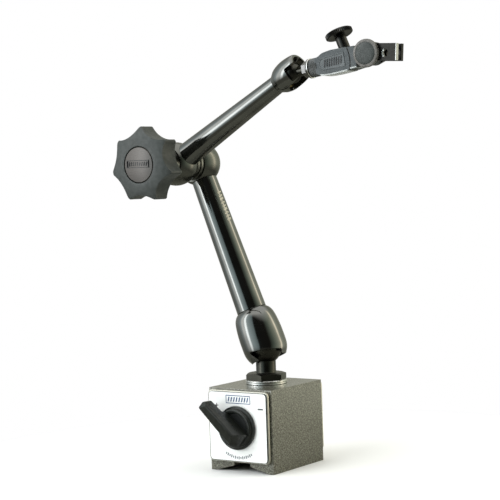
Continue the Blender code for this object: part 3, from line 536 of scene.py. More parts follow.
def make_base_body():
    """Both pole blocks and the spacer as one block, with the groove between the poles."""
    right, left = BASE_HALF_WIDTH, -BASE_HALF_WIDTH
    outline = [(right, 0.0), (21.0, 0.0), (6.5, 3.9), (6.5, 24.0), (-6.5, 24.0), (-6.5, 3.9),
               (-21.0, 0.0), (left, 0.0), (left, BASE_HEIGHT), (right, BASE_HEIGHT)]
    body = extruded("base_body", outline, -BASE_HALF_DEPTH, BASE_HALF_DEPTH, BASE_FRONT)
    drill(body, BORE_R, -40, 40, SPINDLE, 96)
    stud_y = joint_place("lower_tilt").y - base_centre.y
    drill(body, STUD_HOLE_R, 40, 60, shift(BASE, 0, stud_y, 0))
    ease_edges(body, 1.0, 40)
    dress(body, "base", HAMMERTONE, "hammered_paint",
          "pole_block_left", "pole_block_right", "spacer_top")


def make_cover(name, node, material, slot, inset, radius, edge, step=0.0, set_back=0.0,
               screws=()):
    """A plate or label. Where it has a step, the rear of it is a black piece, painted shade for the
    dark gap between plate and body.
    """
    low, high = node_box(node)
    near = base_centre.y - high.y + step - set_back
    far = base_centre.y - low.y - set_back
    cover = extruded(name, plate_outline(inset, radius), near, far, BASE_FRONT)
    drill(cover, SPINDLE_HOLE_R, near - 1, far + 1, SPINDLE)
    seat = [(0, 1), (3.2, 1), (3.2, -0.6), (1.8, -1.9), (1.8, -8), (0, -8)]
    for number in screws:
        cut(cover, turned("seat", seat, rear_screw_axes(number), 40))
    ease_edges(cover, edge, 40)
    dress(cover, "base", material, slot, node)
    # The black piece behind a stepped plate is painted shade, the gap's shadow next to the body.
    if step:
        outline = plate_outline(GAP_SHADE_INSET, radius)
        gap_shade = extruded(name + "_gap_shade", outline, near - step, near, BASE_FRONT)
        drill(gap_shade, SPINDLE_HOLE_R, near - step - 1, near + 1, SPINDLE)
        dress(gap_shade, "base", BLACK_OXIDE_AND_GAP_SHADE, slot)


def rear_screw_axes(number):
    """Axes at the middle of a rear screw's head, with z pointing out of the plate."""
    low, high = node_box(f"plate_screw_{number}")
    centre = (low + high) / 2
    return make_axes(Vector((centre.x, high.y, centre.z)), RIGHT, BACK)


def make_rear_screws():
    profile = [(0, 0), (2.75, 0), (2.85, -0.15), (2.85, -0.45), (1.5, -1.5), (1.5, -8), (0, -8)]
    for number in REAR_SCREWS:
        axes = rear_screw_axes(number)
        screw = turned(f"rear_screw_{number - 4}", profile, axes, 40)
        for angle in (0, 90):
            slot = extruded("slot", rectangle(-1.6, 1.6, -0.35, 0.35), -0.9, 1,
                            turn(axes, angle + 17 * number))
            cut(screw, slot)
        dress(screw, "base", STEEL, "bare_steel", f"plate_screw_{number}")


def flat_marks(name, outlines, height, axes, ink, body, slot, thickness=0.05):
    marks = [extruded("mark", outline, height, height + thickness, axes) for outline in outlines]
    dress(merge(name, marks), body, ink, slot)


def frame_bars(left, right, bottom, top, line):
    """Four bars that outline a rectangle."""
    return [
        rectangle(left, right, bottom, bottom + line),
        rectangle(left, right, top - line, top),
        rectangle(left, left + line, bottom + line, top - line),
        rectangle(right - line, right, bottom + line, top - line),
    ]


def slanted_bars(left, right, bottom, top, count, width, slant):
    bars = []
    for i in range(count):
        x = left + (right - left) * (i + 0.5) / count
        bars.append([(x - width / 2 - slant, bottom), (x + width / 2 - slant, bottom),
                     (x + width / 2 + slant, top), (x - width / 2 + slant, top)])
    return bars


def make_label_marks():
    low, _ = node_box("front_label")
    front = base_centre.y - low.y
    emblem = frame_bars(-8.9, 10.6, 45.7, 51.2, 0.5)
    emblem += slanted_bars(-7.7, 9.4, 46.9, 50.0, 8, 0.95, 0.4)
    flat_marks("label_emblem", emblem, front, BASE_FRONT, BLUE_INK, "base", "label")
    signs = [rectangle(-17.9, -15.1, 43.7, 44.3), rectangle(-16.8, -16.2, 42.6, 45.4),
             rectangle(16.4, 20.5, 42.5, 43.4)]
    flat_marks("label_signs", signs, front, BASE_FRONT, DARK_INK, "base", "label")
    ticks = []
    for i in range(TICKS):
        angle = math.radians(-120 + 60 * i / (TICKS - 1))
        along, across = 0.42, 1.0 if i % 2 else 0.7
        middle = Vector((0.3 + TICK_RING_R * math.cos(angle),
                         ROTOR_Z + TICK_RING_R * math.sin(angle)))
        outward = Vector((math.cos(angle), math.sin(angle)))
        sideways = Vector((-outward.y, outward.x))
        corners = [(-1, -1), (1, -1), (1, 1), (-1, 1)]
        ticks.append([tuple(middle + sideways * along * a + outward * across * b)
                      for a, b in corners])
    flat_marks("label_ticks", ticks, front, BASE_FRONT, GREY_INK, "base", "label")


def make_washer():
    low, high = node_box("base_washer")
    outer, inner = 13.75, 4.4
    top = high.z + WASHER_EXTRA
    middle = (top + low.z) / 2
    ring = [(outer - 0.5, top), (outer, top - 0.4), (outer, middle + 0.2), (outer - 0.6, middle),
            (outer, middle - 0.2), (outer, low.z), (inner, low.z), (inner, top)]
    axes = BALL.copy()
    axes.translation.z = 0
    washer = turned("stud_washer", ring, axes)
    dress(washer, "base", SATIN_CHROME_AND_GLINT, "chrome", "base_washer")


# --- switch ---

WING_ANGLE = 138.1


def make_switch():
    """A dished disc joined to a wing that is cut to its side, section and plan outlines."""
    disc = rounded([(0, 3.0), (9.8, 3.0), (10.7, 4.2), (12.2, 4.2), (12.8, 3.4), (12.8, 2.0),
                    (14.2, 2.0), (14.4, 1.6), (14.4, 0.0), (0, 0.0)], 0.5, closed=False)
    knob = turned("switch_handle", disc, SWITCH)
    side = rounded([(-11.2, 2.6), (12.2, 2.6), (12.8, 7.1), (24.6, 7.1), (26.0, 9.0),
                    (25.6, 12.6), (20.8, 15.75), (-6.6, 15.75)], 1.0)
    lever = turn(SWITCH, WING_ANGLE)
    upright = turn(lever, 90, "X")
    wing = extruded("wing", side, -6.4, 7.6, upright)
    section = rounded([(-4.9, 0.0), (6.3, 0.0), (5.9, 8.0), (5.2, 12.7), (-2.3, 15.75),
                       (-3.2, 15.1), (-4.7, 7.0)], 0.7)
    across = turn(upright, 90, "Y")
    combine(wing, extruded("section", section, -40, 40, across), "INTERSECT")
    plan = rounded([(-12.0, -4.9), (23.6, -3.2), (25.8, -0.6), (26.2, 1.7), (25.4, 3.9),
                    (-12.0, 6.3)], 1.2)
    combine(wing, extruded("plan", plan, -1, 20, lever), "INTERSECT")
    join(knob, wing)
    drill(knob, 4.3, -1, 2.3, SWITCH)
    drill(knob, 2.1, 0, 9.3, SWITCH, 32)
    ease_edges(knob, 0.35, 38, 2)
    dress(knob, "switch", SWITCH_BLACK, "black_plastic", "switch_knob")
    # A near-black disc at the bottom of the dish: painted shade in the recess.
    dish = [(2.3, 3.1), (10.0, 3.1), (10.0, 2.9), (2.3, 2.9)]
    dress(turned("switch_dish_shade", dish, SWITCH), "switch", DISH_SHADE_BLACK, "black_plastic")


# --- base stud and lower arm ---


def make_base_stud():
    low, _ = node_box("base_ball_stud")
    centre_z = joint_place("lower_tilt").z
    _, washer_top = node_box("base_washer")
    hex_low = washer_top.z + WASHER_EXTRA + 0.1 - centre_z
    hex_high = hex_low + 4.3
    neck = 6.7
    ball_r = 11.0
    meet = -math.sqrt(ball_r**2 - neck**2)
    profile = [(0, ball_r)] + sphere_side(ball_r, 10.8, meet, 40)
    profile += [(neck, hex_high + 1.1), (7.1, hex_high + 0.3), (7.8, hex_high),
                (7.8, hex_low + 0.5), (4.0, hex_low + 0.5),
                (4.0, low.z - centre_z), (0, low.z - centre_z)]
    stud = turned("ball_stud", profile, BALL)
    nut = extruded("nut", arc(14.0, -10, 290, 5), hex_low, hex_high, BALL)
    chamfer = [(0, hex_high), (11.9, hex_high), (14.1, hex_high - 0.9), (14.1, hex_low + 0.5),
               (13.4, hex_low), (0, hex_low)]
    combine(nut, turned("chamfer", chamfer, BALL), "INTERSECT")
    join(stud, nut)
    ease_edges(stud, 0.2, 40, 2)
    dress(stud, "base_stud", STUD_FINISH, "black_chrome", "base_ball_stud")


def stadium(half_width, length):
    """A slot with one round end."""
    return arc(half_width, 0, 180, 24) + [(-half_width, -length), (half_width, -length)]


def barrel(name, outer, mouth, pocket, lip, seat, bore, axes):
    """A barrel around a ball: its outside, then its mouth, pocket and bore from below."""
    inner = [mouth, (math.sqrt(pocket**2 - lip**2), lip)]
    inner += sphere_side(pocket, lip, 0.0, 12)[1:]
    inner += [(pocket, seat), (bore, seat), (bore, outer[0][1])]
    return turned(name, smooth_line(outer) + inner, axes, FINE)


def make_lower_socket():
    outer = [(10.5, 26.3), (12.1, 24.6), (13.5, 21.6), (14.4, 16.6), (14.9, 10.5), (15.0, 5.0),
             (14.9, 0.0), (14.5, -2.6), (13.7, -5.0), (12.7, -6.8), (12.1, -7.9)]
    socket = barrel("lower_barrel", outer, (11.6, -7.9), 11.3, -5.0, 16.0, 8.8, LOWER)
    side = turn(turn(LOWER, 90, "Z"), 90, "X")
    cut(socket, extruded("notch", stadium(6.9, 15), 1, 20, turn(side, 180, "Y")))
    relief_axes = turn(turn(LOWER, -55.0), -14.0, "X")
    facing = turn(turn(relief_axes, 90, "Z"), 90, "X")
    mouth = rounded([(-1.5, -15.0), (10.9, -15.0), (10.9, -2.5), (-6.8, -3.4), (-6.2, -4.8),
                     (-1.5, -8.6)], 0.8)

    def widen(x, y):
        return (x - 9.35, y) if x < 4.0 else (x, y)

    cut(socket, extruded("relief", mouth, 3, 20, facing, widen))
    hole = turn(turn(shift(LOWER, 0, 0, 24.6), -88.0), 55, "Y")
    drill(socket, 0.95, 10.0, 16.0, hole, 20)
    ease_edges(socket, 0.25, 38, 2)
    dress(socket, "lower_barrel", BLACK_CHROME, "black_chrome", "lower_socket")


def hollow_shoulder(outer_r, inner_r, head_r, steps):
    """The hollow end by which a tube sits on a round head, as (radius, distance)."""
    points = []
    for i in range(steps + 1):
        r = inner_r + (outer_r - inner_r) * i / steps
        points.append((r, math.sqrt(head_r**2 - r**2)))
    return points


LOWER_TUBE_R = 10.1
LOWER_TIP_R = 8.6
LOWER_FOOT = 27.0
LOWER_TIP_GAP = 12.6


def make_lower_tube():
    reach = LOWER_LENGTH
    shoulder = hollow_shoulder(LOWER_TIP_R, 5.5, 15.3, 8)
    profile = [(5.5, reach - 8.5)] + [(r, reach - z) for r, z in shoulder]
    profile += [(LOWER_TUBE_R, LOWER_FOOT), (LOWER_TUBE_R - 0.3, 26.6), (8.5, 26.6),
                (8.5, 16.6), (3.4, 16.6), (3.4, reach - 8.5)]
    tube = turned("lower_tube_shell", profile, LOWER, FINE)
    dress(tube, "lower_arm", BLACK_CHROME, "black_chrome", "lower_tube")


def make_tube_marks():
    """A row of pale slanted bars printed along the lower tube."""
    shape = bmesh.new()
    start, end, count = 88.5, 111.0, 9
    for i in range(count):
        low = start + (end - start) * i / count
        rows = []
        for k in range(5):
            angle = math.radians(-18 + 24 * k / 4)
            lean = 1.1 * k / 4
            width = 1.0 if i % 3 else 1.5
            pair = []
            for height in (low + lean, low + lean + width):
                taper = (height - LOWER_FOOT) / (LOWER_LENGTH - LOWER_TIP_GAP - LOWER_FOOT)
                r = LOWER_TUBE_R + (LOWER_TIP_R - LOWER_TUBE_R) * taper + 0.04
                pair.append(shape.verts.new((r * math.cos(angle), r * math.sin(angle), height)))
            rows.append(pair)
        for first, second in zip(rows, rows[1:]):
            shape.faces.new((first[0], second[0], second[1], first[1]))
    marks = new_object("tube_marks", shape, LOWER)
    dress(marks, "lower_arm", GOLD_INK, "black_chrome")


# --- elbow ---


BOLT_BORE_R = 6.1
BOLT_R = 5.8
BOLT_WAIST_R = 4.2
ROD_HOLE_R = 5.8


def make_round_head(name, radius, centre, top, bottom, bore, axes, body, node, socket_turn):
    side = sphere_side(radius, top - centre, bottom - centre, 48, centre)
    profile = side + [(bore, bottom), (bore, top)]
    head = turned(name, profile, axes, FINE)
    hole = turn(turn(shift(axes, 0, 0, centre), socket_turn, "Z"), 90, "Y")
    drill(head, ROD_HOLE_R, 3, 18, hole)
    ease_edges(head, 0.25, 38, 2)
    dress(head, body, DULL_CHROME, "black_chrome", node)


def make_elbow():
    lower_turn = math.degrees(math.atan2(-lower_up.z, -lower_up.x))
    upper_turn = math.degrees(math.atan2(upper_up.z, upper_up.x))
    make_round_head("rear_head", 15.0, 0.0, 8.8, -12.5, BOLT_BORE_R, ELBOW, "lower_arm",
                    "elbow_rear_head", lower_turn)
    make_round_head("front_head", 14.6, ARM_OFFSET, 34.4, 15.2, BOLT_BORE_R, ELBOW,
                    "upper_arm", "elbow_front_head", upper_turn)
    rings = (
        ("rear_ring", 11.6, 9.1, 11.85, "lower_arm", "elbow_ring_rear"),
        ("front_ring", 11.0, 12.15, 14.9, "upper_arm", "elbow_ring_front"),
        ("collar", 10.7, 34.7, 39.2, "upper_arm", "elbow_collar"),
    )
    for name, outer, low, high, body, node in rings:
        profile = rounded([(outer, high), (outer, low), (BOLT_BORE_R, low),
                           (BOLT_BORE_R, high)], 0.45)
        ring = turned(name, profile, ELBOW)
        dress(ring, body, DULL_CHROME, "black_chrome", node)
    dome = smooth_line([(0.0, -15.2), (3.0, -15.1), (5.6, -14.6), (7.5, -13.7), (8.1, -12.9)], 4)
    profile = [(0, 57.0), (3.9, 57.0), (3.9, 39.0), (BOLT_R, 39.0)]
    for middle in (ARM_OFFSET, 0.0):
        profile += [(BOLT_R, middle + 5), (BOLT_WAIST_R, middle + 2),
                    (BOLT_WAIST_R, middle - 2), (BOLT_R, middle - 5)]
    profile += [(BOLT_R, -12.8), (8.1, -12.8)] + dome[::-1]
    bolt = turned("lock_bolt_rod", profile, ELBOW)
    slot = extruded("slot", rectangle(-9, 9, -0.7, 0.7), -17, -14.2, turn(ELBOW, 35))
    cut(bolt, slot)
    dress(bolt, "lock_bolt", BLACK_CHROME, "black_chrome", "elbow_bolt")


# --- lock knob ---

KNOB_TIP_R = 24.5
KNOB_VALLEY_R = 19.9
KNOB_LOBES = 7
KNOB_LOBE_ANGLE = 89.0
KNOB_TIP_ANGLE = 2.7
KNOB_TIP_ROUND = 1.5
KNOB_TIP_SINK = 0.64  # how far the tip circle sits inside the tip, in its own radii
KNOB_TIP_SWEEP = 42
KNOB_BACK = 50.8
KNOB_FRONT = 65.4
KNOB_CAP_R = 12.0


def lobed_outline():
    """The seven-lobed knob: narrow tips joined by wide round hollows."""
    half_pitch = 180.0 / KNOB_LOBES
    tip = math.radians(half_pitch - KNOB_TIP_ANGLE)
    half_chord = KNOB_TIP_R * math.sin(tip)
    sag = KNOB_TIP_R * math.cos(tip) - KNOB_VALLEY_R
    hollow_r = (half_chord**2 + sag**2) / (2 * sag)
    reach = math.degrees(math.asin(half_chord / hollow_r))
    points = []
    for i in range(KNOB_LOBES):
        middle = KNOB_LOBE_ANGLE + half_pitch * (2 * i + 1)
        away = math.radians(middle)
        centre = ((KNOB_VALLEY_R + hollow_r) * math.cos(away),
                  (KNOB_VALLEY_R + hollow_r) * math.sin(away))
        points += arc(hollow_r, middle + 180 + reach, middle + 180 - reach, 24, centre)
        crest = middle + half_pitch
        reach_out = KNOB_TIP_R - KNOB_TIP_ROUND * KNOB_TIP_SINK
        tip_centre = (reach_out * math.cos(math.radians(crest)),
                      reach_out * math.sin(math.radians(crest)))
        points += arc(KNOB_TIP_ROUND, crest - KNOB_TIP_SWEEP, crest + KNOB_TIP_SWEEP, 6,
                      tip_centre)
    return points


def make_knob():
    knob = extruded("lock_knob_body", lobed_outline(), KNOB_BACK - 1, KNOB_FRONT + 1, ELBOW)
    top = KNOB_FRONT
    dome = [(12.2, top - 1.1), (12.2, top - 0.2), (12.4, top), (14.5, top - 0.05),
            (18.0, top - 0.6), (21.0, top - 1.4), (23.3, top - 2.3), (24.8, top - 3.4),
            (25.2, top - 5.0), (25.2, KNOB_BACK + 1), (24.2, KNOB_BACK)]
    face = turned("face", [(0, top - 1.1)] + smooth_line(dome) + [(0, KNOB_BACK)], ELBOW, 160)
    combine(knob, face, "INTERSECT")
    ease_edges(knob, 0.55, 30, 4)
    bake(knob)
    hub = rounded([(0, 52), (7.6, 52), (7.6, 39.5), (0, 39.5)], 0.5, closed=False)
    join(knob, turned("hub", hub, ELBOW))
    drill(knob, 4.2, 30, 58, ELBOW)
    dress(knob, "lock_knob", KNOB_GREY, "grey_plastic", "elbow_knob", crease=28)

    top = KNOB_FRONT + 0.75
    bulge = 80.0
    face = [(r, top - bulge + math.sqrt(bulge**2 - r**2)) for r in (0, 2, 4, 6, 8, 10, 11.3)]
    seat = KNOB_FRONT - 0.8
    cap = face + [(11.8, top - 1.25), (KNOB_CAP_R, top - 1.45), (KNOB_CAP_R, seat), (0, seat)]
    disc = turned("knob_inlay", cap, ELBOW, FINE)
    dress(disc, "lock_knob", CAP_METAL, "satin_cap", "elbow_knob_cap")
    emblem = frame_bars(-9.2, 8.8, -1.9, 3.0, 0.42)
    emblem += slanted_bars(-8.2, 7.8, -0.8, 1.9, 9, 0.75, 0.35)
    flat_marks("inlay_emblem", emblem, top - 0.6, ELBOW, DARK_INK, "lock_knob", "satin_cap", 0.66)


# --- upper arm ---


def make_upper_arm():
    reach = UPPER_LENGTH
    end = reach - 8.7
    shoulder = hollow_shoulder(8.25, 5.5, 14.9, 8)
    profile = [(5.0, end), (5.0, reach - 12.6), (5.8, reach - 12.6), (6.05, reach - 12.9)]
    profile += shoulder[::-1]
    profile += [(5.5, 8.4), (2.9, 8.4), (2.9, end)]
    tube = turned("upper_tube_shell", profile, UPPER, FINE)
    dress(tube, "upper_arm", BLACK_CHROME, "black_chrome", "upper_tube")


def make_upper_socket():
    outer = [(6.5, 12.3), (7.5, 10.6), (8.5, 8.9), (9.4, 5.9), (9.9, 2.6), (10.0, 0.0),
             (9.8, -3.2), (9.4, -6.2), (8.9, -7.8), (8.3, -8.5)]
    socket = barrel("upper_barrel", outer, (7.1, -8.5), 7.3, -4.8, 8.4, 5.3, UPPER_BALL)
    side = turn(turn(UPPER_BALL, 90, "Z"), 90, "X")
    cut(socket, extruded("notch", stadium(5.8, 12), -15, 0, side))
    facing = turn(turn(turn(UPPER_BALL, -108.0), 90, "Z"), 90, "X")
    mouth = rounded(rectangle(-5.0, 4.6, -14.0, -1.4), 1.2)
    cut(socket, extruded("relief", mouth, 4, 15, facing))
    ease_edges(socket, 0.2, 38, 2)
    dress(socket, "upper_barrel", BLACK_CHROME, "black_chrome", "upper_socket")


def make_top_stud():
    ball_r, neck = 7.0, 3.5
    meet = math.sqrt(ball_r**2 - neck**2)
    profile = [(0, 21.5), (3.0, 21.5), (3.0, 12.4), (3.5, 12.0)]
    profile += sphere_side(ball_r, meet, -6.9, 40) + [(0, -ball_r)]
    stud = turned("top_stud_turning", profile, HEAD, 80)
    dress(stud, "top_stud", STUD_FINISH, "black_chrome", "top_ball_stud")
    flange = [(3.0, 15.0), (6.0, 15.0), (6.2, 14.8), (6.2, 14.2), (5.0, 13.2), (3.0, 12.8)]
    nut = turned("top_stud_nut", flange, HEAD, 80)
    join(nut, extruded("nut", rounded(arc(5.3, 0, 300, 5), 0.3), 10.6, 13.4, HEAD))
    drill(nut, 3.0, 10, 16, HEAD)
    ease_edges(nut, 0.15, 40, 2)
    dress(nut, "top_stud", GUNMETAL, "bare_steel")
    ring = rounded([(6.35, 16.0), (6.35, 15.3), (3.3, 15.3), (3.3, 16.0)], 0.25)
    dress(turned("boss_ring", ring, HEAD), "top_stud", CHROME, "chrome", "head_ring")


# --- fine-adjustment head ---

CHEEK_ARC_R = 21.4
CHEEK_HALF = 5.5
PIVOT_R = 1.6
LEVER_HALF = 1.8
CLAMP_HOLE_R = 2.8
LEVER_EYE = shift(HEAD_SIDE, 60.0, 0.2, 0)
PIVOT = shift(HEAD_SIDE, PIVOT_S, 0, 0)


def head_outline():
    reach = math.degrees(math.asin(7.2 / CHEEK_ARC_R))
    lower = smooth_line([(21.5, -4.6), (23.4, -6.0), (26.0, -6.9), (35.0, -7.4)], 5)
    upper = smooth_line([(34.0, 7.7), (28.0, 7.0), (24.8, 5.6), (21.5, 4.6)], 5)
    return lower + arc(CHEEK_ARC_R, -reach, reach, 20, (PIVOT_S, 0.0)) + upper


def make_head_body():
    body = extruded("head_casting", head_outline(), -CHEEK_HALF, CHEEK_HALF, HEAD_SIDE)
    drill(body, 3.3, 15, 21.8, HEAD)
    cut(body, extruded("slot", rounded(rectangle(22.2, 70, -5.8, 4.2), 0.5), -2.2, 2.2, HEAD_SIDE))
    drill(body, PIVOT_R, -7, 4.2, PIVOT, 32)
    drill(body, 2.2, -6, 2, SCREW, 32)
    drill(body, 4.0, -1.3, 6, SCREW, 48)
    ease_edges(body, 0.45, 38)
    dress(body, "head", HEAD_GREY, "head_grey", "head_body")
    rim = [(3.3, 22.9), (5.2, 22.9), (6.0, 22.2), (6.0, 16.8), (5.6, 16.3), (3.3, 16.3)]
    boss = turned("head_boss", rim, HEAD, 52 * 4, knurl(52, 0.22, 5.9))
    dress(boss, "head", BOSS_GREY, "head_grey", crease=25)
    # The cheeks' lower edge, which gets a painted highlight.
    lower = smooth_line([(24.6, -6.5), (27.0, -7.0), (35.0, -7.4), (44.4, -7.25)], 5)
    make_edge_highlight("head_edge_highlight", lower, "head")
    make_head_panel("front", 1)
    make_head_panel("rear", -1)


def make_edge_highlight(name, line, body):
    """A pale line along the lower edge of both cheeks: a painted highlight, the light of the pale
    floor on the edge.
    """
    outline = [(x, y - 0.08) for x, y in line] + [(x, y + 0.75) for x, y in reversed(line)]
    edges = extruded(name, outline, -5.54, 5.54, HEAD_SIDE)
    dress(edges, body, EDGE_HIGHLIGHT_GREY, "head_grey")


def make_head_panel(name, side):
    """A shallow raised frame on a cheek, round at the boss end, around slanted bars. The frame is
    lighter grey than the cheek: a painted highlight on its raised edge.
    """
    axes = HEAD_SIDE if side > 0 else turn(HEAD_SIDE, 180, "X")
    round_end = (28.4, 0.2 * side)
    face = CHEEK_HALF
    outline = arc(3.9, 90, 270, 12, round_end) + [(43.4, -4.3), (43.4, 4.6)]
    panel = extruded(f"head_panel_{name}", outline, face - 0.5, face + 0.35, axes)
    inner = arc(3.3, 90, 270, 12, round_end) + [(42.8, -3.7), (42.8, 4.0)]
    cut(panel, extruded("hollow", inner, face + 0.05, face + 1, axes))
    bars = slanted_bars(28.0, 41.8, -2.2, 2.6, 8, 0.8, 0.5)
    marks = [extruded("bar", bar, face - 0.2, face + 0.32, axes) for bar in bars]
    ease_edges(panel, 0.12, 40, 2)
    dress(panel, "head", PANEL_HIGHLIGHT_GREY, "head_grey")
    dress(merge(f"head_bars_{name}", marks), "head", DARK_INK, "head_grey")


def make_lever():
    start = PIVOT_S - 2.7
    bar = rectangle(start, 50.0, -2.4, 3.6)
    lever = extruded("fine_lever_bar", bar, -LEVER_HALF, LEVER_HALF, HEAD_SIDE)
    eye = [(0, LEVER_HALF), (7.3, LEVER_HALF), (7.3, -LEVER_HALF), (0, -LEVER_HALF)]
    join(lever, turned("eye", eye, LEVER_EYE))
    arm = rectangle(49.0, 56.0, -5.0, 5.6)
    join(lever, extruded("arm", arm, -LEVER_HALF, LEVER_HALF, HEAD_SIDE))
    radius = CHEEK_ARC_R + 0.75
    reach = math.degrees(math.asin(7.0 / radius))
    block = arc(radius, reach, -reach, 20, (PIVOT_S, 0.0)) + [(51.2, -6.6), (51.2, 6.8)]
    join(lever, extruded("block", block, -CHEEK_HALF, CHEEK_HALF, HEAD_SIDE))
    drill(lever, PIVOT_R, -9, 9, PIVOT, 32)
    drill(lever, CLAMP_HOLE_R, -9, 9, LEVER_EYE)
    ease_edges(lever, 0.25, 38, 2)
    dress(lever, "lever", HEAD_GREY, "head_grey", "fine_lever")
    # A painted highlight along the lever block's lower edge.
    make_edge_highlight("lever_edge_highlight", [(46.4, -6.6), (48.8, -6.6), (51.0, -6.6)], "lever")
    # A black strip sunk in the gap between the lever block and the cheeks: painted shade for the
    # gap.
    gap_shade = arc(radius - 0.35, reach, -reach, 20, (PIVOT_S, 0.0))
    gap_shade += arc(radius + 0.4, -reach, reach, 20, (PIVOT_S, 0.0))
    gap_shade = extruded("lever_gap_shade", gap_shade, -5.25, 5.25, HEAD_SIDE)
    dress(gap_shade, "lever", BLACK_OXIDE_AND_GAP_SHADE, "head_grey")


def knurl(teeth, depth, rim):
    """A ripple that cuts fine straight teeth into the rim of a turned form."""
    def ripple(radius, angle):
        if radius < rim:
            return radius
        phase = (angle * teeth / (2 * math.pi)) % 1.0
        return radius - depth * abs(phase * 2 - 1)
    return ripple


def make_fine_screw():
    stem = [(0, 11.1), (1.9, 11.1), (1.9, 8.2), (3.6, 8.2), (3.6, -0.3), (1.9, -0.3), (1.9, -2.5),
            (1.0, -3.1), (0, -3.3)]
    screw = turned("screw_stem", rounded(stem, 0.25, closed=False), SCREW, 64)
    dress(screw, "screw", BLACK_OXIDE_AND_GAP_SHADE, "black_oxide", "fine_screw")
    low, high = 8.5, 11.6
    rim = [(8.2, high), (8.85, high - 0.5), (8.85, low + 0.5), (8.2, low), (5.6, low + 0.15),
           (2.2, low + 0.15), (2.2, high - 0.4), (5.6, high - 0.4), (7.6, high)]
    wheel = turned("screw_wheel", rim, SCREW, 44 * 4, knurl(44, 0.5, 8.5))
    dress(wheel, "screw", BLACK_OXIDE_AND_GAP_SHADE, "black_oxide", "fine_screw_wheel", crease=25)


# --- clamp ---


JAW_R = 7.2
JAW_LOW = -4.4
JAW_HIGH = 6.2
JAW_END = 19.6
SIDE_HOLE = shift(CLAMP, 11.8, 0.3, 0)


def jaw_outline():
    top = math.degrees(math.asin(JAW_HIGH / JAW_R))
    return arc(JAW_R, top, 300, 48) + [(JAW_R, JAW_LOW), (JAW_END, JAW_LOW), (JAW_END, JAW_HIGH)]


def make_jaw(name, near, far, node):
    """A jaw from its inner to its outer face. The front one has a steel strip on its end, and a
    bright crescent in its side hole that is a painted highlight on the hole's edge.
    """
    side = 1 if far > near else -1
    low, high = min(near, far), max(near, far)
    jaw = extruded(name, jaw_outline(), low, high, CLAMP)
    drill(jaw, CLAMP_HOLE_R, low - 1, high + 1, CLAMP)
    drill(jaw, 2.5, low - 1, high + 1, SIDE_HOLE)
    floor = near + side * 1.15
    groove = [(12.8, near - side * 0.3), (13.6, floor), (18.6, floor), (19.3, near - side * 0.3)]
    across = turn(CLAMP, 90, "X")
    cut(jaw, extruded("groove", groove, -12, 12, across))
    ease_edges(jaw, 0.25, 38, 2)
    dress(jaw, "clamp", JAW_FINISH, "black_oxide", node)
    if side < 0:
        return
    end = rectangle(JAW_END - 0.2, JAW_END + 0.4, JAW_LOW + 0.1, JAW_HIGH - 0.1)
    strip = extruded("jaw_end", end, near + 0.1, far + 0.05, CLAMP)
    ease_edges(strip, 0.1, 38, 2)
    dress(strip, "clamp", STEEL, "bare_steel")
    # A bright satin crescent inside the side hole: a painted highlight on the hole's edge.
    hole_glint = arc(2.5, 105, 255, 16) + arc(1.8, 235, 125, 12, (0.15, 0.0))
    hole_glint = extruded("jaw_hole_glint", hole_glint, near + 0.5, far - 0.5, SIDE_HOLE)
    dress(hole_glint, "clamp", SATIN_CHROME_AND_GLINT, "bare_steel")


def make_clamp():
    make_jaw("front_jaw", 2.1, 4.9, "clamp_front_jaw")
    make_jaw("rear_jaw", -2.1, -4.7, "clamp_rear_jaw")
    bolt = [(0, 7.4), (2.5, 7.4), (2.5, -5.0), (4.2, -5.0), (4.1, -5.9), (3.4, -6.7), (2.0, -7.2),
            (0, -7.3)]
    rod = turned("clamp_bolt_rod", bolt, CLAMP, 64)
    cut(rod, extruded("slot", rectangle(-5, 5, -0.5, 0.5), -9, -6.5, turn(CLAMP, 20)))
    dress(rod, "clamp", BLACK_OXIDE_AND_GAP_SHADE, "black_oxide", "clamp_bolt")
    low, high = 5.2, 9.0
    rim = [(7.0, high - 0.55), (7.6, high - 0.6), (8.4, high - 0.9), (8.8, high - 1.3),
           (8.8, low + 0.9), (8.3, low), (2.8, low), (2.8, 7.7), (7.0, 7.7)]
    knob = turned("clamp_wheel", rim, CLAMP, 48 * 4, knurl(48, 0.3, 8.7))
    dress(knob, "clamp_nut", RIM_GREY, "grey_plastic", "clamp_knob", crease=25)
    dome = smooth_line([(0, high), (3.0, high - 0.08), (5.6, high - 0.3), (6.8, high - 0.6)], 4)
    dome += [(7.0, high - 0.8), (7.0, 7.75), (0, 7.75)]
    dress(turned("clamp_cap", dome, CLAMP), "clamp_nut", KNOB_GREY, "grey_plastic")


# --- build ---

make_base_body()
make_cover("front_cover", "front_plate", CAST, "cast_plate", 0.0, 3.0, 0.35, 0.75)
make_cover("front_label_edge", "front_label", BLACK_OXIDE_AND_GAP_SHADE, "label", 0.7, 2.8, 0.05,
           set_back=LABEL_EDGE_BACK)
make_cover("front_face", "front_label", LABEL, "label", 1.05, 2.4, 0.12)
make_label_marks()
make_cover("rear_cover", "rear_plate", CAST, "cast_plate", 0.0, 3.0, 0.35,
           screws=REAR_SCREWS)
make_rear_screws()
make_washer()
make_switch()
make_base_stud()
make_lower_socket()
make_lower_tube()
make_tube_marks()
make_elbow()
make_knob()
make_upper_arm()
make_upper_socket()
make_top_stud()
make_head_body()
make_lever()
make_fine_screw()
make_clamp()

KEPT = (
    (BRASS, ("spacer_bottom", "rotor_spindle", "rotor_end", "lower_seat", "upper_seat")),
    (MAGNET, ("rotor_magnet",)),
    (SPRING, ("return_spring",)),
    (STEEL, ("rotor_shoe_left", "rotor_shoe_right", "lower_push_rod", "upper_push_rod",
             "head_pin", *(f"plate_screw_{number}" for number in range(1, 5)))),
)
for kept_finish, node_names in KEPT:
    for node_name in node_names:
        slots = NODES[node_name].data.materials
        slots.clear()
        slots.append(kept_finish)

# --- floor, light and camera ---

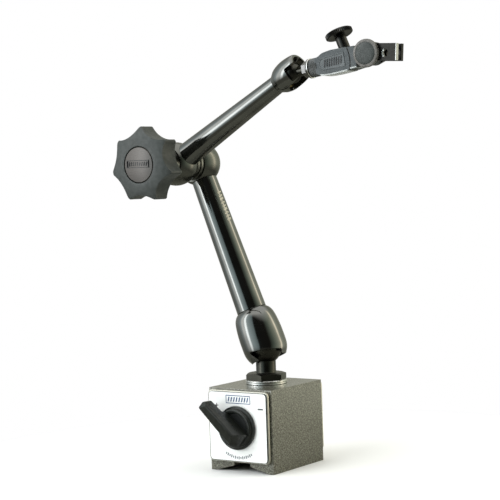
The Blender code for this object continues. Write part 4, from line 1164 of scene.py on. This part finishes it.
CAMERA_AZIMUTH = 34.95
CAMERA_RISE = 2.74
CAMERA_ROLL = -1.89
CAMERA_DISTANCE = 1075.62
CAMERA_LENS = 115.2
CAMERA_RIGHT = -7.46
CAMERA_UP = 144.53
FLOOR_R = 260.0
FLOOR_WHITE = (0.94, 0.94, 0.94)
BELOW = (0.2, 0.2, 0.165)
CEILING = (1.5, 1.5, 1.45)
# The walls' colours by bearing, in degrees from the camera's side of the object.
WALLS = [
    (-180, (0.42, 0.42, 0.36)), (-150, (0.42, 0.43, 0.39)), (-112, (0.7, 0.77, 0.77)),
    (-97, (1.2, 1.35, 1.4)), (-92, (2.2, 2.2, 2.15)), (-76, (2.2, 2.3, 2.3)),
    (-73, (5.0, 5.2, 5.3)), (-66, (5.0, 5.2, 5.3)),
    (-61, (1.2, 1.4, 1.45)), (-48, (0.9, 1.08, 1.12)), (-30, (0.5, 0.63, 0.65)),
    (-26, (0.03, 0.032, 0.03)), (28, (0.03, 0.028, 0.024)), (50, (0.3, 0.36, 0.29)),
    (76, (0.85, 0.9, 0.72)), (90, (1.5, 1.45, 1.15)), (94, (3.4, 3.05, 2.45)),
    (101, (3.2, 2.9, 2.3)), (106, (1.1, 1.15, 0.95)), (135, (0.6, 0.62, 0.5)),
    (180, (0.42, 0.42, 0.36)),
]

azimuth = math.radians(CAMERA_AZIMUTH)
rise = math.radians(CAMERA_RISE)
TOWARD = Vector((math.sin(azimuth) * math.cos(rise), -math.cos(azimuth) * math.cos(rise),
                 math.sin(rise)))
ACROSS = Vector((math.cos(azimuth), math.sin(azimuth), 0))


def make_camera():
    level_up = ACROSS.cross(-TOWARD)
    roll = math.radians(CAMERA_ROLL)
    right = ACROSS * math.cos(roll) + level_up * math.sin(roll)
    place = TOWARD * CAMERA_DISTANCE + ACROSS * CAMERA_RIGHT + level_up * CAMERA_UP
    place += base_place
    data = bpy.data.cameras.new("camera")
    data.lens = CAMERA_LENS
    data.sensor_width = 36.0
    data.clip_end = 10.0
    camera = link_object("camera", data)
    axes = make_axes(place, right, TOWARD)
    axes.translation = place * 0.001
    camera.matrix_world = axes
    bpy.context.scene.camera = camera


def make_floor():
    """A plain pale disc, darker where it shows in the chrome."""
    shape = bmesh.new()
    shape.faces.new([shape.verts.new((x, y, 0)) for x, y in arc(FLOOR_R, 0, 358, 179)])
    floor = new_object("floor", shape, Matrix.Identity(4))
    finish = Finish("floor_white", FLOOR_WHITE, 0.7)
    finish.roughness_from(finish.noise(40.0), 0.65, 0.75)
    path = finish.nodes.new("ShaderNodeLightPath").outputs["Is Glossy Ray"]
    finish.colour_from(finish.ramp(path, [(0.0, FLOOR_WHITE), (1.0, BELOW)]))
    floor.data.materials.append(finish.material)


def make_light():
    """A soft light from the upper left of the camera that isn't seen in the chrome."""
    data = bpy.data.lights.new("front", "AREA")
    data.shape = "RECTANGLE"
    data.size = data.size_y = 0.5
    data.energy = 7.0
    light = link_object("front", data)
    toward = TOWARD * 0.8 - ACROSS * 0.9 + UP * 0.7
    light.location = Vector((0.0, 0.0, 0.15)) + toward
    light.rotation_euler = toward.to_track_quat("Z", "Y").to_euler()
    light.visible_glossy = False


def make_sky():
    """A studio: a cool softbox on the left, a warm one on the right, dark between, pale above.

    Each softbox has a bright lamp strip in it. Seen directly, the studio is plain white.
    """
    world = bpy.data.worlds.new("studio")
    bpy.context.scene.world = world
    world.use_nodes = True
    nodes, links = world.node_tree.nodes, world.node_tree.links
    background = nodes["Background"]
    direction = nodes.new("ShaderNodeTexCoord").outputs["Generated"]

    def along(vector):
        node = nodes.new("ShaderNodeVectorMath")
        node.operation = "DOT_PRODUCT"
        node.inputs[1].default_value = vector
        links.new(direction, node.inputs[0])
        return node.outputs["Value"]

    def maths(operation, *sources):
        node = nodes.new("ShaderNodeMath")
        node.operation = operation
        for socket, source in zip(node.inputs, sources):
            links.new(source, socket)
        return node.outputs["Value"]

    def ramp(source, low, high, stops):
        stops = [((place - low) / (high - low), colour) for place, colour in stops]
        return ramp_node(world.node_tree, range_node(world.node_tree, source, low, high), stops)

    def mixed(factor, source, colour):
        node = nodes.new("ShaderNodeMix")
        node.data_type = "RGBA"
        links.new(factor, node.inputs["Factor"])
        links.new(source, node.inputs["A"])
        node.inputs["B"].default_value = (*colour, 1)
        return node.outputs["Result"]

    black, white = (0, 0, 0), (1, 1, 1)
    bearing = maths("DEGREES", maths("ARCTAN2", along(ACROSS), along(TOWARD)))
    walls = ramp(bearing, -180, 180, WALLS)
    above = ramp(along(UP), 0, 1, [(0.0, black), (0.62, black), (0.85, white)])
    below = ramp(along(UP), -1, 1, [(-0.4, white), (-0.02, black)])
    studio = mixed(below, mixed(above, walls, CEILING), BELOW)
    links.new(studio, background.inputs["Color"])
    background.inputs["Strength"].default_value = 1.0
    plain = nodes.new("ShaderNodeBackground")
    plain.inputs["Color"].default_value = (1, 1, 1, 1)
    plain.inputs["Strength"].default_value = 1.0
    seen = nodes.new("ShaderNodeMixShader")
    links.new(nodes.new("ShaderNodeLightPath").outputs["Is Camera Ray"], seen.inputs["Fac"])
    links.new(background.outputs["Background"], seen.inputs[1])
    links.new(plain.outputs["Background"], seen.inputs[2])
    links.new(seen.outputs["Shader"], nodes["World Output"].inputs["Surface"])


bpy.context.scene.view_settings.view_transform = "Standard"
make_camera()
make_floor()
make_sky()
make_light()
